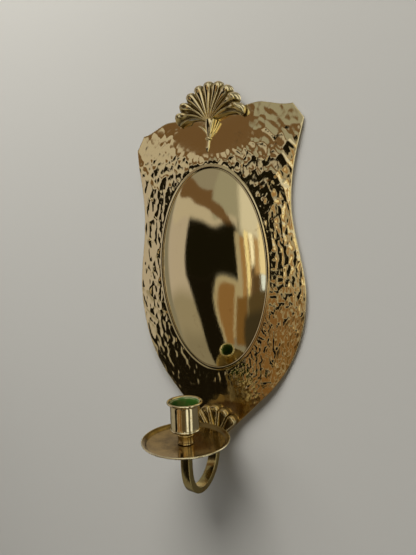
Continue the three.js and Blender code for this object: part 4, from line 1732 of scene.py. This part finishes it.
@dataclass(frozen=True)
class Flat:
    """A soft-edged panel of the studio, as seen from the object, in degrees round and up."""

    name: str
    around: tuple[float, float]
    up: tuple[float, float]
    colour: Colour
    soft: float = 1.5
    slope: float = 0.0  # degrees up for each degree round

    def mask(self, graph: Graph, azimuth: Value, elevation: Value) -> Value:
        """Where the panel is.

        Args:
            graph: the world's graph.
            azimuth: degrees round, 0 straight out from the wall and + to the right.
            elevation: degrees up.

        Returns:
            0 to 1.
        """
        s = self.soft / 2
        if self.slope:
            elevation = elevation - azimuth * self.slope
        left = graph.step(azimuth, self.around[0] - s, self.around[0] + s)
        right = graph.step(azimuth, self.around[1] + s, self.around[1] - s)
        below = graph.step(elevation, self.up[0] - s, self.up[0] + s)
        above = graph.step(elevation, self.up[1] + s, self.up[1] - s)
        return left * right * below * above


ROOM = (
    Flat("cream_wall", (-84, -46), (-16, 90), (0.45, 0.39, 0.37), 6),
    Flat("cream_wall_foot", (-84, -46), (-34, -12), (0.29, 0.25, 0.20), 8),
    Flat("low_wall", (-110, -46), (-90, -28), (0.22, 0.19, 0.15), 10),
    Flat("cream_band", (-84, 0), (13, 23), (0.48, 0.42, 0.37), 2),
    Flat("ceiling", (-180, 10), (30, 91), (0.27, 0.24, 0.21), 3),
    Flat("ceiling_right", (-27, 12), (17, 91), (0.32, 0.30, 0.255), 3),
    Flat("bright_ceiling", (4, 60), (12, 91), (0.66, 0.61, 0.56), 9),
    Flat("beam", (-80, -28), (22, 32), (0.15, 0.085, 0.042), 1.6),
    Flat("beam_end", (-29, 5), (3.6, 10.0), (0.15, 0.085, 0.042), 1.8, -0.62),
    Flat("dark_doorway", (-51, -2.5), (-8, 14), (0.008, 0.0066, 0.003), 4),
    Flat("dark_doorway_foot", (-49, -25), (-50, -6), (0.008, 0.006, 0.003), 2.5),
    Flat("pale_fold", (-25, 4), (-36, -8.5), (0.38, 0.32, 0.23), 1.5),
    Flat("brown_fold", (-22, -9), (-40, -11), (0.24, 0.13, 0.052), 2),
    Flat("cream_line", (-4.5, 3), (-10, 11), (0.38, 0.32, 0.24), 1.2),
    Flat("brown_curtain", (3, 9.5), (-20, 10), (0.33, 0.19, 0.085), 1.5),
    Flat("brown_curtain_foot", (-6, 10), (-42, -16), (0.17, 0.09, 0.03), 3),
    Flat("window_left", (10, 14.5), (-12, 14), (0.95, 0.80, 0.50), 1.6),
    Flat("window_slit", (11, 13.5), (-36, -10), (0.80, 0.66, 0.40), 1.4),
    Flat("window_frame", (14.3, 16), (-24, 12), (0.34, 0.20, 0.09), 1.2),
    Flat("window_right", (16, 20.5), (-5, 14), (1.05, 0.98, 0.86), 1.2),
    Flat("dark_figure", (16, 27), (-40, -3), (0.10, 0.06, 0.03), 5),
    Flat("warm_figure", (20.5, 27), (-8, 13), (0.42, 0.27, 0.14), 4),
    Flat("warm_window", (27, 37), (-8, 22), (0.84, 0.72, 0.52), 2.5),
    Flat("dark_figure_foot", (10.5, 43), (-60, -17), (0.085, 0.058, 0.028), 5),
    Flat("white_card", (28, 34), (-17, -8), (0.77, 0.86, 1.05), 2),
    Flat("dark_floor", (6, 60), (-90, -27), (0.045, 0.034, 0.02), 6),
    Flat("side_window", (50, 64), (-50, 40), (0.95, 0.90, 0.80), 3),
    Flat("side_shade", (64, 76), (-60, 40), (0.07, 0.06, 0.04), 3),
    Flat("far_window", (80, 96), (-50, 40), (0.85, 0.80, 0.70), 4),
    Flat("rear_floor", (100, 179), (-90, -14), (0.10, 0.085, 0.065), 12),
    Flat("rear_floor_left", (-179, -100), (-90, -14), (0.10, 0.085, 0.065), 12),
    Flat("rear_window", (128, 158), (-8, 48), (0.95, 0.92, 0.88), 9),
    Flat("rear_curtain", (-160, -135), (-10, 70), (0.55, 0.47, 0.36), 14),
)


@dataclass
class Studio:
    """A plain wall behind the object, a pale floor, soft light from above and a room to reflect."""

    wall_colour: Colour = (0.61, 0.60, 0.565)
    floor_colour: Colour = (0.48, 0.47, 0.44)
    reach: float = 4.0
    floor_below: float = 1.3
    plain: Colour = (0.22, 0.20, 0.17)  # what the room shows where it has no panel
    drape: float = 9.0  # how far the panels' edges wander, in degrees
    ambient: Colour = (0.03, 0.03, 0.029)  # what lights the matt wall besides the lamps
    backdrop: Colour = (0.55, 0.54, 0.51)

    def _paint(self, name: str, colour: Colour, see_through: bool) -> bpy.types.Material:
        """A plain matt paint.

        Args:
            name: the material's name.
            colour: its colour.
            see_through: whether the back of the sheet is clear.

        Returns:
            The material.
        """
        material = bpy.data.materials.new(name)
        material.use_nodes = True
        material.node_tree.nodes.clear()
        graph = Graph(material.node_tree)
        where = graph.node("ShaderNodeTexCoord", out="Object")
        darker, lighter = (tuple(min(1, c * k) for c in colour) for k in (0.985, 1.015))
        tone = graph.blend(graph.noise(where, 3.0, 3.0), darker, lighter)
        matt = graph.node("ShaderNodeBsdfDiffuse", None, {"Color": tone, "Roughness": 0.6})
        if see_through:
            behind = graph.node("ShaderNodeNewGeometry", out="Backfacing")
            clear = graph.node("ShaderNodeBsdfTransparent")
            matt = graph.node("ShaderNodeMixShader", None, {0: behind, 1: matt, 2: clear})
        graph.node("ShaderNodeOutputMaterial", None, {"Surface": matt})
        return material

    def _sheet(self, name: str, corners: Sequence[tuple], material: bpy.types.Material) -> bpy.types.Object:
        """A flat sheet of the stage.

        Args:
            name: the sheet's name.
            corners: its corners, in metres.
            material: its material.

        Returns:
            The object.
        """
        mesh = bpy.data.meshes.new(name)
        mesh.from_pydata(corners, [], [(0, 1, 2, 3)])
        mesh.materials.append(material)
        made = bpy.data.objects.new(name, mesh)
        bpy.context.scene.collection.objects.link(made)
        made.visible_glossy = False
        return made

    def stage(self) -> None:
        """Puts up the wall and the floor."""
        r, f = self.reach, -self.floor_below
        wall = [(-r, 0.0005, f), (r, 0.0005, f), (r, 0.0005, r), (-r, 0.0005, r)]
        sheet = self._sheet("plain_wall", wall, self._paint("wall_paint", self.wall_colour, True))
        sheet.visible_shadow = False
        floor = [(-r, -r, f), (r, -r, f), (r, r, f), (-r, r, f)]
        self._sheet("plain_floor", floor, self._paint("floor_paint", self.floor_colour, False))

    def lights(self) -> None:
        """Hangs two soft lights, which the metal doesn't mirror."""
        for name, place, size, power in (
            ("soft_top", (0.06, -0.52, 0.78), 0.8, 12.5),
            ("soft_left", (-0.6, -1.0, 0.7), 1.2, 5.5),
        ):
            data = bpy.data.lights.new(name, "AREA")
            data.shape, data.size, data.energy = "DISK", size, power
            data.color = (1.0, 0.985, 0.95)
            lamp = bpy.data.objects.new(name, data)
            lamp.location = place
            aim = Vector((0.0, 0.0, -0.1)) - lamp.location
            lamp.rotation_euler = aim.to_track_quat("-Z", "Y").to_euler()
            lamp.visible_glossy = False
            bpy.context.scene.collection.objects.link(lamp)

    def room(self) -> None:
        """Paints the surroundings that the polished brass mirrors."""
        world = bpy.data.worlds.new("studio_room")
        bpy.context.scene.world = world
        world.use_nodes = True
        world.node_tree.nodes.clear()
        graph = Graph(world.node_tree)
        toward = graph.node("ShaderNodeTexCoord", out="Generated")
        x, y, z = graph.parts(toward)
        wander = {"Vector": toward, "Scale": 2.4, "Detail": 0.0}
        drape = graph.node("ShaderNodeTexNoise", None, wander, out=1)
        lean, lift, _ = graph.parts(drape)
        azimuth = x.angle_over(0.0 - y) * (180 / math.pi) + (lean - 0.5) * self.drape
        elevation = z.arcsine() * (180 / math.pi) + (lift - 0.5) * self.drape
        colour = self.plain
        for flat in ROOM:
            colour = graph.blend(flat.mask(graph, azimuth, elevation), colour, flat.colour)
        seen = graph.node("ShaderNodeLightPath", out="Is Camera Ray")
        matt = graph.node("ShaderNodeLightPath", out="Is Diffuse Ray")
        colour = graph.blend(seen, graph.blend(matt, colour, self.ambient), self.backdrop)
        back = graph.node("ShaderNodeBackground", None, {"Color": colour, "Strength": 1.0})
        graph.node("ShaderNodeOutputWorld", None, {"Surface": back})

    def build(self) -> None:
        """Makes the stage, the lights and the room, and sets plain colour management."""
        self.stage()
        self.lights()
        self.room()
        bpy.context.scene.view_settings.view_transform = "Standard"


@dataclass
class Viewpoint:
    """A camera at eye height, to the right of the sconce and turned towards it."""

    place: tuple[float, float, float] = (0.2412, -0.3508, -0.0944)
    yaw: float = -35.51  # degrees, + to the right
    pitch: float = -3.37
    roll: float = -1.84
    lens: float = 29.70
    sensor: float = 36.0

    def build(self) -> None:
        """Makes the camera."""
        yaw, pitch, roll = (math.radians(v) for v in (self.yaw, self.pitch, self.roll))
        ahead = Vector((math.sin(yaw) * math.cos(pitch), math.cos(yaw) * math.cos(pitch), math.sin(pitch)))
        level = Vector((math.cos(yaw), -math.sin(yaw), 0.0))
        upright = level.cross(ahead)
        right = level * math.cos(roll) + upright * math.sin(roll)
        up = upright * math.cos(roll) - level * math.sin(roll)
        data = bpy.data.cameras.new("viewpoint")
        data.lens, data.sensor_width, data.sensor_fit = self.lens, self.sensor, "AUTO"
        data.clip_start, data.clip_end = 0.01, 30.0
        camera = bpy.data.objects.new("viewpoint", data)
        bpy.context.scene.collection.objects.link(camera)
        turn = Matrix((right, up, -ahead)).transposed().to_4x4()
        camera.matrix_world = Matrix.Translation(self.place) @ turn
        bpy.context.scene.camera = camera


# ---------------------------------------------------------------------------------------- the sconce


def main() -> None:
    """Builds the sconce, the studio and the camera."""
    logging.basicConfig(level=logging.INFO, format="%(name)s: %(message)s")
    plate = BackPlate()
    plate.build()
    Palmette(plate).build()
    FootShell(plate).build()
    StrapArm(plate).build()
    CandleStack().build()
    Fixings(plate).build()
    Studio().build()
    Viewpoint().build()


if __name__ == "__main__":
    main()
